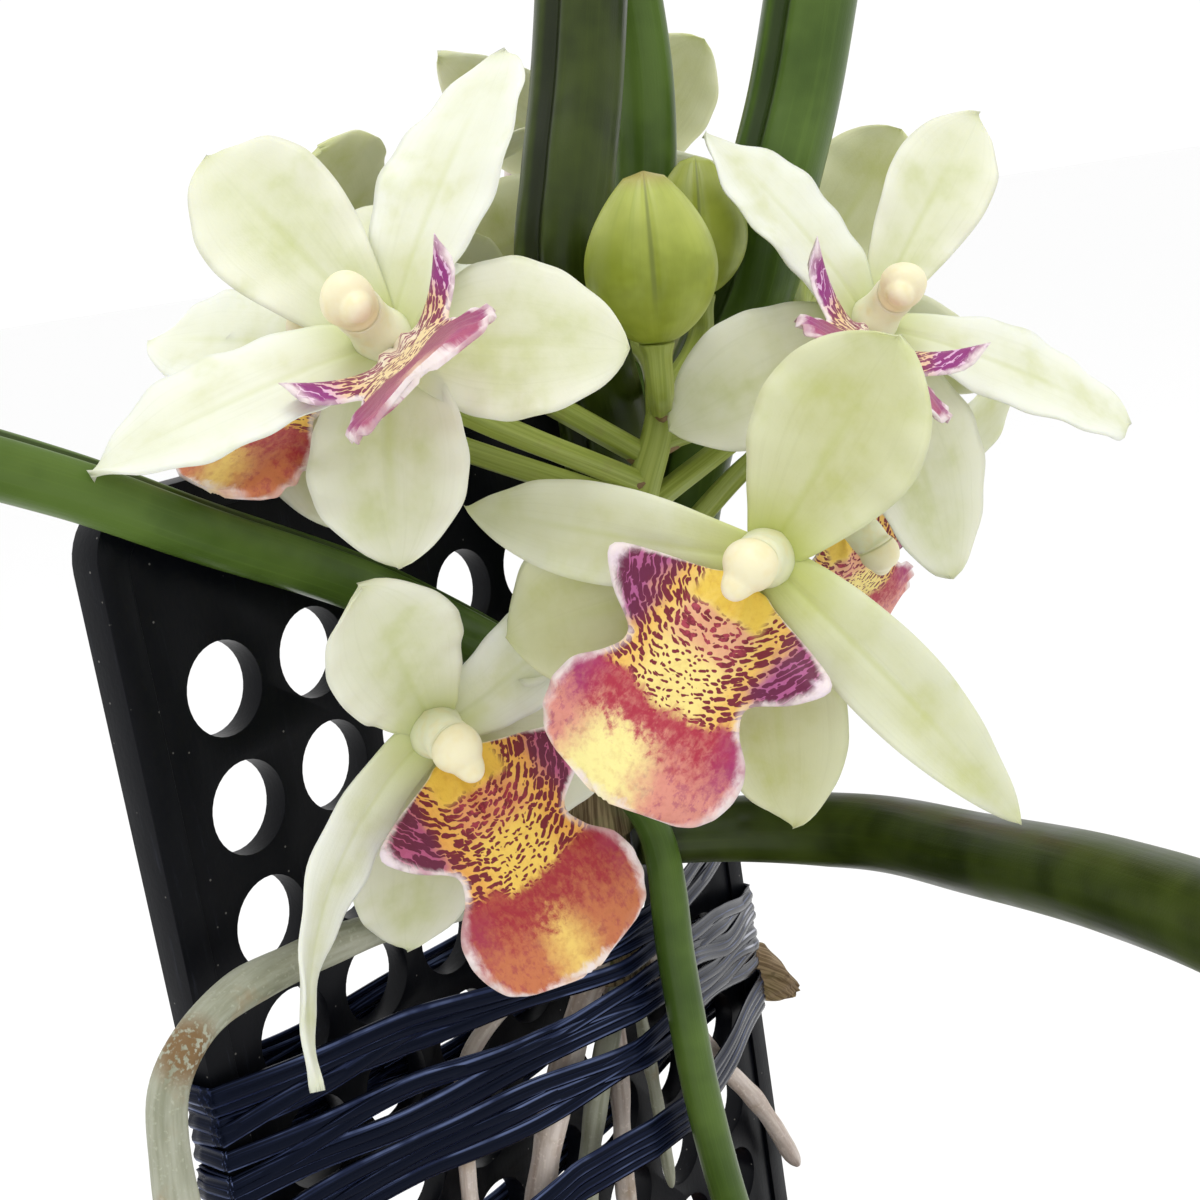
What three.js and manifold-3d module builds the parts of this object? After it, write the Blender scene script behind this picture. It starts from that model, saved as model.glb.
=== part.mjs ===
import * as THREE from 'three';
import { mergeVertices } from 'three/addons/utils/BufferGeometryUtils.js';
import Module from 'manifold-3d';

// A hybrid orchid with round channelled leaves, tied to an upright black perforated plastic panel
// that stands in a plain nursery pot. Millimetres, +Z up, origin at the centre of the pot's foot.
// The panel faces -Y. Left and right are those of someone who looks along +Y.

// Fit between pieces that touch
const CLEARANCE = 0.3;

// Pot
const POT_HEIGHT = 100;
const POT_FOOT_RADIUS = 58;
const POT_RIM_RADIUS = 76;
const POT_WALL = 2.4;
const POT_FLOOR = 4;
const POT_RIM_BAND = 9;
const POT_RIM_STEP = 2;
const POT_SIDES = 24;
const DRAIN_RADIUS = 5;
const DRAIN_CIRCLE = 34;
const DRAIN_COUNT = 5;
const DRAIN_SIDES = 8;
const POT_EDGE_ROUND = 1;

// Bark and charcoal in the pot
const MEDIUM_TOP = 88;
const CHIP_COUNT = 18;
const CHIP_LENGTH = 18;
const CHIP_RISE = 2.4;
const BED_CROWN = 2;
const GOLDEN_ANGLE = Math.PI * (3 - Math.sqrt(5));

// Perforated panel
const HOLE_PITCH = 14;
const HOLE_RADIUS = 5.4;
const HOLE_COLUMNS = 7;
const HOLE_ROWS = 11;
const HOLE_SIDES = 8;
const PANEL_SIDE_MARGIN = 13.5;
const PANEL_TOP_MARGIN = 23.5;
const PANEL_BOTTOM = 68.5;
const PANEL_FRONT = 12;
const PANEL_THICKNESS = 4.2;
const PANEL_TOP_ROW = 246;
const PANEL_CORNER = 7;

// Stem of the orchid, with the leaf sheaths that clothe it
const STEM_RADIUS = 5.6;
const STEM_TAPER = 1.4;
const STEM_SIDES = 8;
const STEM_STEPS = 10;
const SHEATH_STEP = 0.9;
const SHEATH_COUNT = 5;

// Leaves and roots
const LEAF_SIDES = 8;
const LEAF_STEPS = 11;
const LEAF_CHANNEL = 0.16;
const ROOT_SIDES = 6;
const ROOT_STEPS = 9;
const DRY_LEAF_FOOT = [56.4, 13.8, 166.25];
const DRY_LEAF_HALF_WIDTH = 4.4;

// Plastic strips that tie stem and roots to the panel
const STRAP_WIDTH = 5;
const STRAP_THICKNESS = 0.8;

// Flowers
const TEPAL_THICKNESS = 0.8;
const TEPAL_GRID = { front: [5, 4], rear: [5, 2] };
const LIP_THICKNESS = 0.8;
const LIP_GRID = { front: [10, 6], rear: [6, 4] };
const COLUMN_SIDES = { front: 8, rear: 6 };
const COLUMN_RADIUS = 2.6;
const NECK_LENGTH = 2.6;
const PEDICEL_RADIUS = 1.4;
const PEDICEL_SIDES = 6;
const PEDICEL_STEPS = 5;
const RACHIS_RADIUS = 3;
const RACHIS_TAPER = 1.2;
const RACHIS_STEPS = 7;
const LIP_LENGTH = 25;
const LIP_FOOT = [0, -2.9, 2.4];
const CURVE_SUBSTEPS = 6;

// Colours
const IVORY = 0xe4eac6;
const LIP_RED = 0xb0544a;
const LEAF_GREEN = 0x3c5a22;
const YOUNG_GREEN = 0x5a8a35;
const BUD_GREEN = 0xa9b84b;
const SPIKE_GREEN = 0x98a44c;
const ROOT_SILVER = 0x9a9a82;
const ROOT_PINK = 0xc6b8ae;
const STEM_BROWN = 0x6b6436;
const PLASTIC_BLACK = 0x121218;
const STRAP_BLACK = 0x1b1c2a;
const BARK_BROWN = 0x5a4030;
const DRY_BROWN = 0x86693f;

const wasm = await Module();
wasm.setup();

const plant = new THREE.Group();

// Solids and geometries

function solidFrom(geometry) {
  const plain = geometry.clone();
  plain.deleteAttribute('normal');
  plain.deleteAttribute('uv');
  const merged = mergeVertices(plain, 1e-4);
  const count = merged.attributes.position.count;
  const triVerts = merged.index
    ? Uint32Array.from(merged.index.array)
    : Uint32Array.from({ length: count }, (_, i) => i);
  const vertProperties = Float32Array.from(merged.attributes.position.array);
  return new wasm.Manifold(new wasm.Mesh({ numProp: 3, vertProperties, triVerts }));
}

function geometryFrom(solid) {
  const mesh = solid.getMesh();
  const geometry = new THREE.BufferGeometry();
  const positions = new Float32Array(mesh.numVert * 3);
  for (let i = 0; i < mesh.numVert; i += 1) {
    for (let k = 0; k < 3; k += 1) {
      positions[3 * i + k] = mesh.vertProperties[mesh.numProp * i + k];
    }
  }
  geometry.setAttribute('position', new THREE.BufferAttribute(positions, 3));
  geometry.setIndex(Array.from(mesh.triVerts));
  return geometry;
}

function union(solids) {
  return solids.reduce((sum, solid) => sum.add(solid));
}

function addPiece(name, geometry, color, roughness = 0.6) {
  const material = new THREE.MeshStandardMaterial({ color, roughness, metalness: 0 });
  const mesh = new THREE.Mesh(geometry, material);
  mesh.name = name;
  plant.add(mesh);
}

function randomSource(seed) {
  let state = seed;
  return () => {
    state = (state * 1664525 + 1013904223) % 4294967296;
    return state / 4294967296;
  };
}

const degrees = THREE.MathUtils.degToRad;
const vector = (p) => new THREE.Vector3(p[0], p[1], p[2]);

function closedGeometry(points, faces) {
  const geometry = new THREE.BufferGeometry();
  const flat = new Float32Array(points.flatMap((p) => [p.x, p.y, p.z]));
  geometry.setAttribute('position', new THREE.BufferAttribute(flat, 3));
  geometry.setIndex(faces.flat());
  return geometry;
}

// A round stem, leaf or root: rings along a smooth curve, closed at both ends.
// radiusAt takes the share of the length, and channel sinks one vertex of each ring.
function taperedTube(path, radiusAt, sides, steps, channel = 0) {
  const curve = new THREE.CatmullRomCurve3(path.map(vector), false, 'centripetal');
  const frames = curve.computeFrenetFrames(steps, false);
  const points = [];
  const faces = [];
  for (let i = 0; i <= steps; i += 1) {
    const centre = curve.getPointAt(i / steps);
    const radius = radiusAt(i / steps);
    for (let k = 0; k < sides; k += 1) {
      const angle = (2 * Math.PI * k) / sides;
      const reach = radius * (k === 0 ? 1 - channel : 1);
      points.push(centre.clone()
        .addScaledVector(frames.normals[i], reach * Math.cos(angle))
        .addScaledVector(frames.binormals[i], reach * Math.sin(angle)));
    }
  }
  for (let i = 0; i < steps; i += 1) {
    for (let k = 0; k < sides; k += 1) {
      const a = i * sides + k;
      const b = i * sides + ((k + 1) % sides);
      faces.push([a, b, b + sides], [a, b + sides, a + sides]);
    }
  }
  const first = points.length;
  points.push(curve.getPointAt(0), curve.getPointAt(1));
  for (let k = 0; k < sides; k += 1) {
    const next = (k + 1) % sides;
    faces.push([first, next, k]);
    faces.push([first + 1, steps * sides + k, steps * sides + next]);
  }
  return closedGeometry(points, faces);
}

// A thin blade: a grid of points with a normal each, made solid by its thickness.
function blade(grid, thickness) {
  const rows = grid.length;
  const columns = grid[0].length;
  const points = [];
  const faces = [];
  for (const side of [0.5, -0.5]) {
    for (const row of grid) {
      for (const { point, normal } of row) {
        points.push(point.clone().addScaledVector(normal, side * thickness));
      }
    }
  }
  const back = rows * columns;
  for (let i = 0; i < rows - 1; i += 1) {
    for (let j = 0; j < columns - 1; j += 1) {
      const a = i * columns + j;
      const c = a + columns;
      faces.push([a, a + 1, c + 1], [a, c + 1, c]);
      faces.push([a + back, c + 1 + back, a + 1 + back], [a + back, c + back, c + 1 + back]);
    }
  }
  const rim = [];
  for (let j = 0; j < columns; j += 1) rim.push(j);
  for (let i = 1; i < rows; i += 1) rim.push(i * columns + columns - 1);
  for (let j = columns - 2; j >= 0; j -= 1) rim.push((rows - 1) * columns + j);
  for (let i = rows - 2; i > 0; i -= 1) rim.push(i * columns);
  rim.forEach((a, n) => {
    const b = rim[(n + 1) % rim.length];
    faces.push([b, a, a + back], [b, a + back, b + back]);
  });
  return closedGeometry(points, faces);
}

// Pot

function makePot() {
  const innerFoot = POT_FOOT_RADIUS - POT_WALL;
  const innerRim = POT_RIM_RADIUS - POT_RIM_STEP - POT_WALL;
  const profile = [
    [0, 0],
    [POT_FOOT_RADIUS - POT_EDGE_ROUND, 0],
    [POT_FOOT_RADIUS, POT_EDGE_ROUND],
    [POT_RIM_RADIUS - POT_RIM_STEP, POT_HEIGHT - POT_RIM_BAND],
    [POT_RIM_RADIUS, POT_HEIGHT - POT_RIM_BAND + POT_RIM_STEP / 2],
    [POT_RIM_RADIUS, POT_HEIGHT - POT_EDGE_ROUND],
    [POT_RIM_RADIUS - POT_EDGE_ROUND, POT_HEIGHT],
    [innerRim + POT_EDGE_ROUND, POT_HEIGHT],
    [innerRim, POT_HEIGHT - POT_EDGE_ROUND],
    [innerFoot, POT_FLOOR],
    [0, POT_FLOOR],
  ].map(([radius, height]) => new THREE.Vector2(radius, height));
  let pot = solidFrom(new THREE.LatheGeometry(profile, POT_SIDES).rotateX(Math.PI / 2));
  if (pot.volume() < 0) {
    throw new Error('The pot profile runs the wrong way');
  }
  const depth = POT_FLOOR * 3;
  for (let i = 0; i < DRAIN_COUNT; i += 1) {
    const angle = (2 * Math.PI * i) / DRAIN_COUNT;
    const drain = new THREE.CylinderGeometry(DRAIN_RADIUS, DRAIN_RADIUS, depth, DRAIN_SIDES);
    drain.rotateX(Math.PI / 2);
    drain.translate(DRAIN_CIRCLE * Math.cos(angle), DRAIN_CIRCLE * Math.sin(angle), 0);
    pot = pot.subtract(solidFrom(drain));
  }
  addPiece('pot', geometryFrom(pot), PLASTIC_BLACK, 0.5);
}

// Potting bark: a bed with chips that stand out of its top, and a slot for the panel

function panelBox(grow) {
  const width = PANEL_SIDE_MARGIN * 2 + HOLE_PITCH * (HOLE_COLUMNS - 1);
  const top = PANEL_TOP_ROW + PANEL_TOP_MARGIN;
  const depth = PANEL_THICKNESS + 2 * grow;
  const box = new THREE.BoxGeometry(width + 2 * grow, depth, top - PANEL_BOTTOM + 2 * grow);
  return box.translate(0, PANEL_FRONT + PANEL_THICKNESS / 2, (top + PANEL_BOTTOM) / 2);
}

function innerPotRadius(height) {
  const foot = POT_FOOT_RADIUS - POT_WALL;
  const rim = POT_RIM_RADIUS - POT_RIM_STEP - POT_WALL;
  return foot + ((rim - foot) * (height - POT_FLOOR)) / (POT_HEIGHT - POT_EDGE_ROUND - POT_FLOOR);
}

function makeMedium() {
  const bottom = POT_FLOOR + CLEARANCE;
  const gap = CLEARANCE * 1.5;
  const profile = [
    [0, bottom],
    [innerPotRadius(bottom) - gap, bottom],
    [innerPotRadius(MEDIUM_TOP) - gap, MEDIUM_TOP],
    [innerPotRadius(MEDIUM_TOP) * 0.55, MEDIUM_TOP + 0.75 * BED_CROWN],
    [0, MEDIUM_TOP + BED_CROWN],
  ].map(([radius, height]) => new THREE.Vector2(radius, height));
  let bed = solidFrom(new THREE.LatheGeometry(profile, POT_SIDES).rotateX(Math.PI / 2));
  const random = randomSource(11);
  const reach = innerPotRadius(MEDIUM_TOP) - CHIP_LENGTH * 0.75;
  for (let i = 0; i < CHIP_COUNT; i += 1) {
    const radius = reach * Math.sqrt((i + 0.5) / CHIP_COUNT);
    const angle = i * GOLDEN_ANGLE;
    const length = CHIP_LENGTH * (0.6 + 0.5 * random());
    const width = length * (0.4 + 0.3 * random());
    const chip = new THREE.BoxGeometry(length, width, length * (0.3 + 0.2 * random()));
    chip.rotateX(degrees(50 * (random() - 0.5)));
    chip.rotateY(degrees(50 * (random() - 0.5)));
    chip.rotateZ(2 * Math.PI * random());
    chip.translate(radius * Math.cos(angle), radius * Math.sin(angle), MEDIUM_TOP + CHIP_RISE);
    bed = bed.add(solidFrom(chip));
  }
  bed = bed.subtract(solidFrom(panelBox(CLEARANCE)));
  addPiece('bark', geometryFrom(bed), BARK_BROWN, 0.9);
}

// Perforated panel: a plate with rounded corners and a grid of round holes

function makePanel() {
  const halfWidth = PANEL_SIDE_MARGIN + (HOLE_PITCH * (HOLE_COLUMNS - 1)) / 2;
  const top = PANEL_TOP_ROW + PANEL_TOP_MARGIN;
  const outline = new THREE.Shape();
  const r = PANEL_CORNER;
  outline.moveTo(-halfWidth + r, PANEL_BOTTOM);
  outline.lineTo(halfWidth - r, PANEL_BOTTOM);
  outline.absarc(halfWidth - r, PANEL_BOTTOM + r, r, -Math.PI / 2, 0, false);
  outline.lineTo(halfWidth, top - r);
  outline.absarc(halfWidth - r, top - r, r, 0, Math.PI / 2, false);
  outline.lineTo(-halfWidth + r, top);
  outline.absarc(-halfWidth + r, top - r, r, Math.PI / 2, Math.PI, false);
  outline.lineTo(-halfWidth, PANEL_BOTTOM + r);
  outline.absarc(-halfWidth + r, PANEL_BOTTOM + r, r, Math.PI, 1.5 * Math.PI, false);
  for (let column = 0; column < HOLE_COLUMNS; column += 1) {
    for (let row = 0; row < HOLE_ROWS; row += 1) {
      const x = HOLE_PITCH * (column - (HOLE_COLUMNS - 1) / 2);
      const z = PANEL_TOP_ROW - HOLE_PITCH * row;
      const hole = new THREE.Path();
      for (let k = 0; k < HOLE_SIDES; k += 1) {
        const angle = (-2 * Math.PI * (k + 0.5)) / HOLE_SIDES;
        const corner = [x + HOLE_RADIUS * Math.cos(angle), z + HOLE_RADIUS * Math.sin(angle)];
        if (k === 0) {
          hole.moveTo(...corner);
        } else {
          hole.lineTo(...corner);
        }
      }
      hole.closePath();
      outline.holes.push(hole);
    }
  }
  const plate = new THREE.ExtrudeGeometry(outline, {
    depth: PANEL_THICKNESS,
    bevelEnabled: false,
    curveSegments: 3,
  });
  plate.rotateX(Math.PI / 2).translate(0, PANEL_FRONT + PANEL_THICKNESS, 0);
  addPiece('panel', geometryFrom(solidFrom(plate)), PLASTIC_BLACK, 0.45);
}

// Stem: upright against the panel's front, with a step at each old leaf sheath

const STEM_PATH = [
  [10, 6, 188],
  [11.5, 6, 205],
  [14, 6, 222],
  [15.5, 5.8, 239],
];

function stemSolid(grow) {
  const radiusAt = (s) => STEM_RADIUS + grow - STEM_TAPER * s - SHEATH_STEP * ((s * SHEATH_COUNT) % 1);
  return solidFrom(taperedTube(STEM_PATH, radiusAt, STEM_SIDES, STEM_STEPS));
}

function makeStem() {
  addPiece('stem', geometryFrom(stemSolid(0)), STEM_BROWN, 0.8);
}

// Leaves: round, with a channel along the upper side, widest past the base and ending in a blunt tip

const LEAVES = {
  leaf_front_upright: {
    path: [[15.5, 4.5, 240], [17.5, 1, 252], [16, -2, 264], [10, -5, 275], [6.7, -6, 285], [10, -6.3, 295],
      [15.2, -6, 306], [22, -6, 326], [26, -8, 352]],
    radius: 5.8,
    color: LEAF_GREEN,
  },
  leaf_back_upright: {
    path: [[18.5, 8, 230], [27.5, 7.2, 247], [32.5, 5, 268], [33, -1.5, 290], [34.7, -3, 305.6],
      [36, -2, 322], [33, -2, 342]],
    radius: 4.2,
    color: YOUNG_GREEN,
  },
  leaf_right_upright: {
    path: [[16, 4, 218], [29, 2.5, 222], [39.5, 6, 241], [43.5, -1, 264], [43, -12, 280], [41, -17, 290.4],
      [46, -19.5, 302.6], [50, -25, 325], [53, -33, 350]],
    radius: 6.2,
    color: LEAF_GREEN,
  },
  leaf_left: {
    path: [[11, 3, 228], [-7, 3.4, 240.6], [-24.9, 5.6, 253.3], [-45.3, 7.5, 264.6], [-60, 8.3, 272.8],
      [-79, 7, 280.9], [-103, 3, 287]],
    radius: 3.3,
    color: LEAF_GREEN,
  },
  leaf_right: {
    path: [[15, 1, 207], [27, -8, 204], [30, -26, 204], [20, -46, 207], [0, -71, 214],
      [-15, -90, 217], [-29, -112, 214]],
    radius: 5.2,
    color: LEAF_GREEN,
  },
  leaf_hanging: {
    path: [[10.5, 0, 217], [10.8, -4.4, 209], [8.4, -6.4, 192], [9, -7, 170], [12, -8, 148],
      [17, -10, 128]],
    radius: 2.6,
    color: YOUNG_GREEN,
  },
};

function leafSolid(leaf) {
  const radiusAt = (s) => {
    const base = 0.8 + 0.2 * Math.min(1, s * 5);
    const tip = Math.sqrt(Math.max(0.04, 1 - Math.max(0, (s - 0.8) / 0.2) ** 2));
    return leaf.radius * base * tip;
  };
  return solidFrom(taperedTube(leaf.path, radiusAt, LEAF_SIDES, LEAF_STEPS, LEAF_CHANNEL));
}

function makeLeaves() {
  const stem = stemSolid(CLEARANCE);
  for (const [name, leaf] of Object.entries(LEAVES)) {
    addPiece(name, geometryFrom(leafSolid(leaf).subtract(stem)), leaf.color, 0.45);
  }
}

// Roots: round, from the stem's foot over the panel, down towards the pot

const ROOTS = {
  root_left: {
    path: [[8, 5, 206], [-16, 6, 210.2], [-31, 6, 213.6], [-45, 6, 215.6], [-55.3, 5, 216.6],
      [-62.4, 4, 215.6], [-66.5, 4, 212], [-68.5, 3.6, 205], [-69, 3, 190], [-66, 2, 174]],
    radius: 2.1,
    color: ROOT_SILVER,
  },
  root_pale: {
    path: [[7, 5, 192], [3, 6, 187.5], [-7, 6, 176], [-13, 7.5, 160], [-15, 8.5, 140], [-13, 9, 120]],
    radius: 2.1,
    color: ROOT_PINK,
  },
  root_grey: {
    path: [[12, 4, 191], [10.5, 5.4, 186], [1.5, 6, 171.5], [-3, 7, 158], [-4, 8.6, 138], [-1, 9, 116]],
    radius: 1.6,
    color: ROOT_SILVER,
  },
  root_left_thin: {
    path: [[7, 7, 197], [-6, 8.6, 193], [-18, 9.8, 188], [-21, 10, 176], [-23, 10, 160], [-26, 10, 146]],
    radius: 1.1,
    color: ROOT_PINK,
  },
  root_middle: {
    path: [[12, 8, 191], [12.5, 8.8, 180], [11, 9.2, 166], [9, 9.4, 150], [10, 9.4, 132]],
    radius: 1.4,
    color: ROOT_PINK,
  },
  root_thin: {
    path: [[14, 7, 191], [18, 8.8, 180], [20, 9.6, 164], [21, 10, 146]],
    radius: 1,
    color: ROOT_SILVER,
  },
  root_right: {
    path: [[14, 5, 193], [23, 6.8, 181], [32, 8, 165], [46, 8.4, 146], [55, 8.6, 130]],
    radius: 1.5,
    color: ROOT_PINK,
  },
};

function rootSolid(root) {
  const radiusAt = (s) => root.radius * Math.sqrt(Math.max(0.08, 1 - Math.max(0, (s - 0.9) / 0.1) ** 2));
  return solidFrom(taperedTube(root.path, radiusAt, ROOT_SIDES, ROOT_STEPS));
}

function makeRoots() {
  const stem = stemSolid(CLEARANCE);
  for (const [name, root] of Object.entries(ROOTS)) {
    addPiece(name, geometryFrom(rootSolid(root).subtract(stem)), root.color, 0.8);
  }
}

// Straps: flat plastic strips, each one closed band round panel, roots and stem

const STRAPS = {
  strap_top: { left: 201, middle: 195.5, right: 192.5, swell: 0 },
  strap_upper: { left: 193, middle: 187.5, right: 178, swell: 0.9 },
  strap_lower: { left: 184, middle: 180, right: 170.5, swell: 0 },
  strap_bottom: { left: 158, middle: 166, right: 162, swell: 0 },
};

function strapGeometry(strap) {
  const edge = PANEL_SIDE_MARGIN + (HOLE_PITCH * (HOLE_COLUMNS - 1)) / 2 + CLEARANCE;
  const front = PANEL_FRONT - CLEARANCE;
  const back = PANEL_FRONT + PANEL_THICKNESS + CLEARANCE;
  const over = -strap.swell;
  const route = [
    [-edge, front, strap.left],
    [-30, 7.6 + over, (strap.left + strap.middle) / 2 + 0.6],
    [-9, 2.6 + over, strap.middle + 0.8],
    [4, -0.6 + over, strap.middle],
    [12, -1.2 + over, strap.middle],
    [20, 0.6 + over, strap.middle],
    [36, 5.4 + over, (strap.right + strap.middle) / 2],
    [edge, front, strap.right],
    [edge, back, strap.right],
    [20, back + 0.2, (2 * strap.right + strap.left) / 3],
    [-20, back + 0.2, (strap.right + 2 * strap.left) / 3],
    [-edge, back, strap.left],
  ];
  const count = route.length;
  const points = [];
  const faces = [];
  route.forEach(([x, y, z], i) => {
    const before = route[(i + count - 1) % count];
    const after = route[(i + 1) % count];
    const first = new THREE.Vector2(x - before[0], y - before[1]).normalize();
    const second = new THREE.Vector2(after[0] - x, after[1] - y).normalize();
    const sum = first.clone().add(second).normalize();
    const mitre = STRAP_THICKNESS / Math.max(0.5, sum.dot(first));
    const out = new THREE.Vector2(sum.y, -sum.x).multiplyScalar(mitre);
    points.push(new THREE.Vector3(x, y, z - STRAP_WIDTH / 2));
    points.push(new THREE.Vector3(x + out.x, y + out.y, z - STRAP_WIDTH / 2));
    points.push(new THREE.Vector3(x + out.x, y + out.y, z + STRAP_WIDTH / 2));
    points.push(new THREE.Vector3(x, y, z + STRAP_WIDTH / 2));
    const next = (i + 1) % count;
    for (let k = 0; k < 4; k += 1) {
      const a = 4 * i + k;
      const b = 4 * i + ((k + 1) % 4);
      const c = 4 * next + ((k + 1) % 4);
      const d = 4 * next + k;
      faces.push([a, c, b], [a, d, c]);
    }
  });
  return closedGeometry(points, faces);
}

function makeStraps() {
  for (const [name, strap] of Object.entries(STRAPS)) {
    addPiece(name, geometryFrom(solidFrom(strapGeometry(strap))), STRAP_BLACK, 0.35);
  }
}

// Dry leaf: a small curled brown scrap, caught at the panel's right edge

function makeDryLeaf() {
  const start = new THREE.Vector3(...DRY_LEAF_FOOT);
  const grid = [];
  for (let i = 0; i <= 4; i += 1) {
    const s = i / 4;
    const centre = start.clone().add(new THREE.Vector3(9 * s, -3 * s, -6 * s - 3 * s * s));
    const half = 0.2 + DRY_LEAF_HALF_WIDTH * Math.sin(Math.PI * (0.03 + 0.91 * s));
    grid.push([1, 0, -1].map((t) => {
      const curl = half * (0.9 * Math.abs(t) - 0.5);
      const point = centre.clone().add(new THREE.Vector3(0.25 * half * t, curl, half * t));
      return { point, normal: new THREE.Vector3(0.3, -0.95, 0.1).normalize() };
    }));
  }
  addPiece('dry_leaf', geometryFrom(solidFrom(blade(grid, TEPAL_THICKNESS))), DRY_BROWN, 0.85);
}

// Flowers

// A flower's own frame: x to the right, y along the upper sepal, z out of its face.
function flowerMatrix({ at, azimuth, elevation, roll }) {
  const a = degrees(azimuth);
  const e = degrees(elevation);
  const face = new THREE.Vector3(Math.sin(a) * Math.cos(e), -Math.cos(a) * Math.cos(e), Math.sin(e));
  const up = new THREE.Vector3(-Math.sin(a) * Math.sin(e), Math.cos(a) * Math.sin(e), Math.cos(e));
  up.applyAxisAngle(face, degrees(roll));
  const right = new THREE.Vector3().crossVectors(up, face);
  return new THREE.Matrix4().makeBasis(right, up, face).setPosition(...at);
}

// A sepal or petal follows an arc from the flower's centre. turn is its direction, clockwise from
// the flower's top; lift is how far it starts forward and bend how far it then leans back; sway bends
// it sideways; twist turns its blade; cup brings its edges forward; wave ripples them. widest is the
// share of the length where it is broadest, and a smaller round makes a blunter tip.
function tepalGrid(form, rows, columns) {
  const { turn, length, width, lift = 10, bend = 20, sway = 0, twist = 0 } = form;
  const { cup = 0.1, wave = 0.6, widest = 0.55, round = 0.8 } = form;
  const grid = [];
  const centre = new THREE.Vector3();
  const power = Math.log(0.5) / Math.log(widest);
  const heading = (s) => {
    const a = degrees(turn + sway * s);
    const e = degrees(lift - bend * s);
    return new THREE.Vector3(Math.sin(a) * Math.cos(e), Math.cos(a) * Math.cos(e), Math.sin(e));
  };
  for (let i = 0; i <= rows; i += 1) {
    const s = i / rows;
    if (i > 0) {
      for (let k = 0; k < CURVE_SUBSTEPS; k += 1) {
        const at = (i - 1 + (k + 0.5) / CURVE_SUBSTEPS) / rows;
        centre.addScaledVector(heading(at), length / rows / CURVE_SUBSTEPS);
      }
    }
    const a = degrees(turn + sway * s);
    const ahead = heading(s);
    const across = new THREE.Vector3(Math.cos(a), -Math.sin(a), 0);
    across.applyAxisAngle(ahead, degrees(twist * s));
    const normal = new THREE.Vector3().crossVectors(across, ahead).normalize();
    const half = 1.5 * (1 - s) ** 3 + 0.35 + (width / 2 - 0.35) * Math.sin(Math.PI * s ** power) ** round;
    const row = [];
    for (let j = 0; j <= columns; j += 1) {
      const t = (2 * j) / columns - 1;
      const ripple = wave * t * t * Math.sin(2 * Math.PI * (1.6 * s + (t > 0 ? 0.1 : 0.55)));
      const rise = cup * half * t * t + ripple * Math.min(1, 3 * s);
      row.push({
        point: centre.clone().addScaledVector(across, half * t).addScaledVector(normal, rise),
        normal,
      });
    }
    grid.push(row);
  }
  return grid;
}

// The lip's half width along its length: narrow claw, side lobes, waist, fan-shaped end.
const LIP_OUTLINE = new THREE.SplineCurve([
  [0, 2.6], [0.1, 9], [0.2, 12.9], [0.3, 11], [0.4, 7.2], [0.5, 7.8], [0.6, 10.2], [0.7, 11],
  [0.8, 10.7], [0.9, 9.4], [1, 6],
].map(([s, half]) => new THREE.Vector2(s, half)));

// The lip hangs from the column's foot. It starts pitch degrees below the line out of the flower's
// face and droops by droop more; the side lobes stand forward, and the far end rolls back.
function lipGrid({ pitch, droop = 45, size = 1, spread = 1, raise = 0.3 }, rows, columns) {
  const grid = [];
  const centre = new THREE.Vector3(...LIP_FOOT);
  const length = LIP_LENGTH * size;
  const heading = (s) => {
    const down = degrees(pitch + droop * s);
    return new THREE.Vector3(0, -Math.sin(down), Math.cos(down));
  };
  for (let i = 0; i <= rows; i += 1) {
    const s = i / rows;
    if (i > 0) {
      for (let k = 0; k < CURVE_SUBSTEPS; k += 1) {
        const at = (i - 1 + (k + 0.5) / CURVE_SUBSTEPS) / rows;
        centre.addScaledVector(heading(at), length / rows / CURVE_SUBSTEPS);
      }
    }
    const ahead = heading(s);
    const normal = new THREE.Vector3(0, ahead.z, -ahead.y);
    const half = LIP_OUTLINE.getPoint(s).y * size * spread;
    const lobes = Math.exp(-(((s - 0.22) / 0.13) ** 2));
    const row = [];
    for (let j = 0; j <= columns; j += 1) {
      const t = (2 * j) / columns - 1;
      const ruffle = s > 0.5 ? 0.5 * Math.sin(9 * t) * t * t * s : 0;
      const rise = half * t * t * (raise * lobes - 0.16 * s) + ruffle;
      row.push({
        point: new THREE.Vector3(-half * t, 0, 0).add(centre).addScaledVector(normal, rise),
        normal,
      });
    }
    grid.push(row);
  }
  return grid;
}

// The column: a short thick post with a rounded cap that leans over the lip, and a neck behind.
function columnGeometry(sides) {
  const path = [[0, 0.6, -NECK_LENGTH], [0, 0.2, 0.6], [0, 0.9, 4.8], [0, 0.6, 8.8], [0, -0.7, 11.2]];
  const radiusAt = (s) => COLUMN_RADIUS * (0.56 + 0.5 * Math.sin(Math.PI * Math.min(1, 0.15 + 0.8 * s)));
  return taperedTube(path, (s) => radiusAt(s) * (s > 0.9 ? 0.75 : 1), sides, 6);
}

const TEPAL_SHAPES = {
  dorsal: { turn: 0, length: 27, width: 16.5, lift: 20, bend: 25, cup: 0.16, widest: 0.62, round: 0.62 },
  petal_right: { turn: 85, length: 33, width: 13, lift: 12, bend: 25, twist: -25 },
  petal_left: { turn: -85, length: 33, width: 13, lift: 12, bend: 25, twist: 25 },
  sepal_right: { turn: 142, length: 29, width: 16, lift: 0, bend: 22, cup: 0.12, round: 0.7 },
  sepal_left: { turn: -142, length: 29, width: 16, lift: 0, bend: 22, cup: 0.12, round: 0.7 },
};

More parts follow.
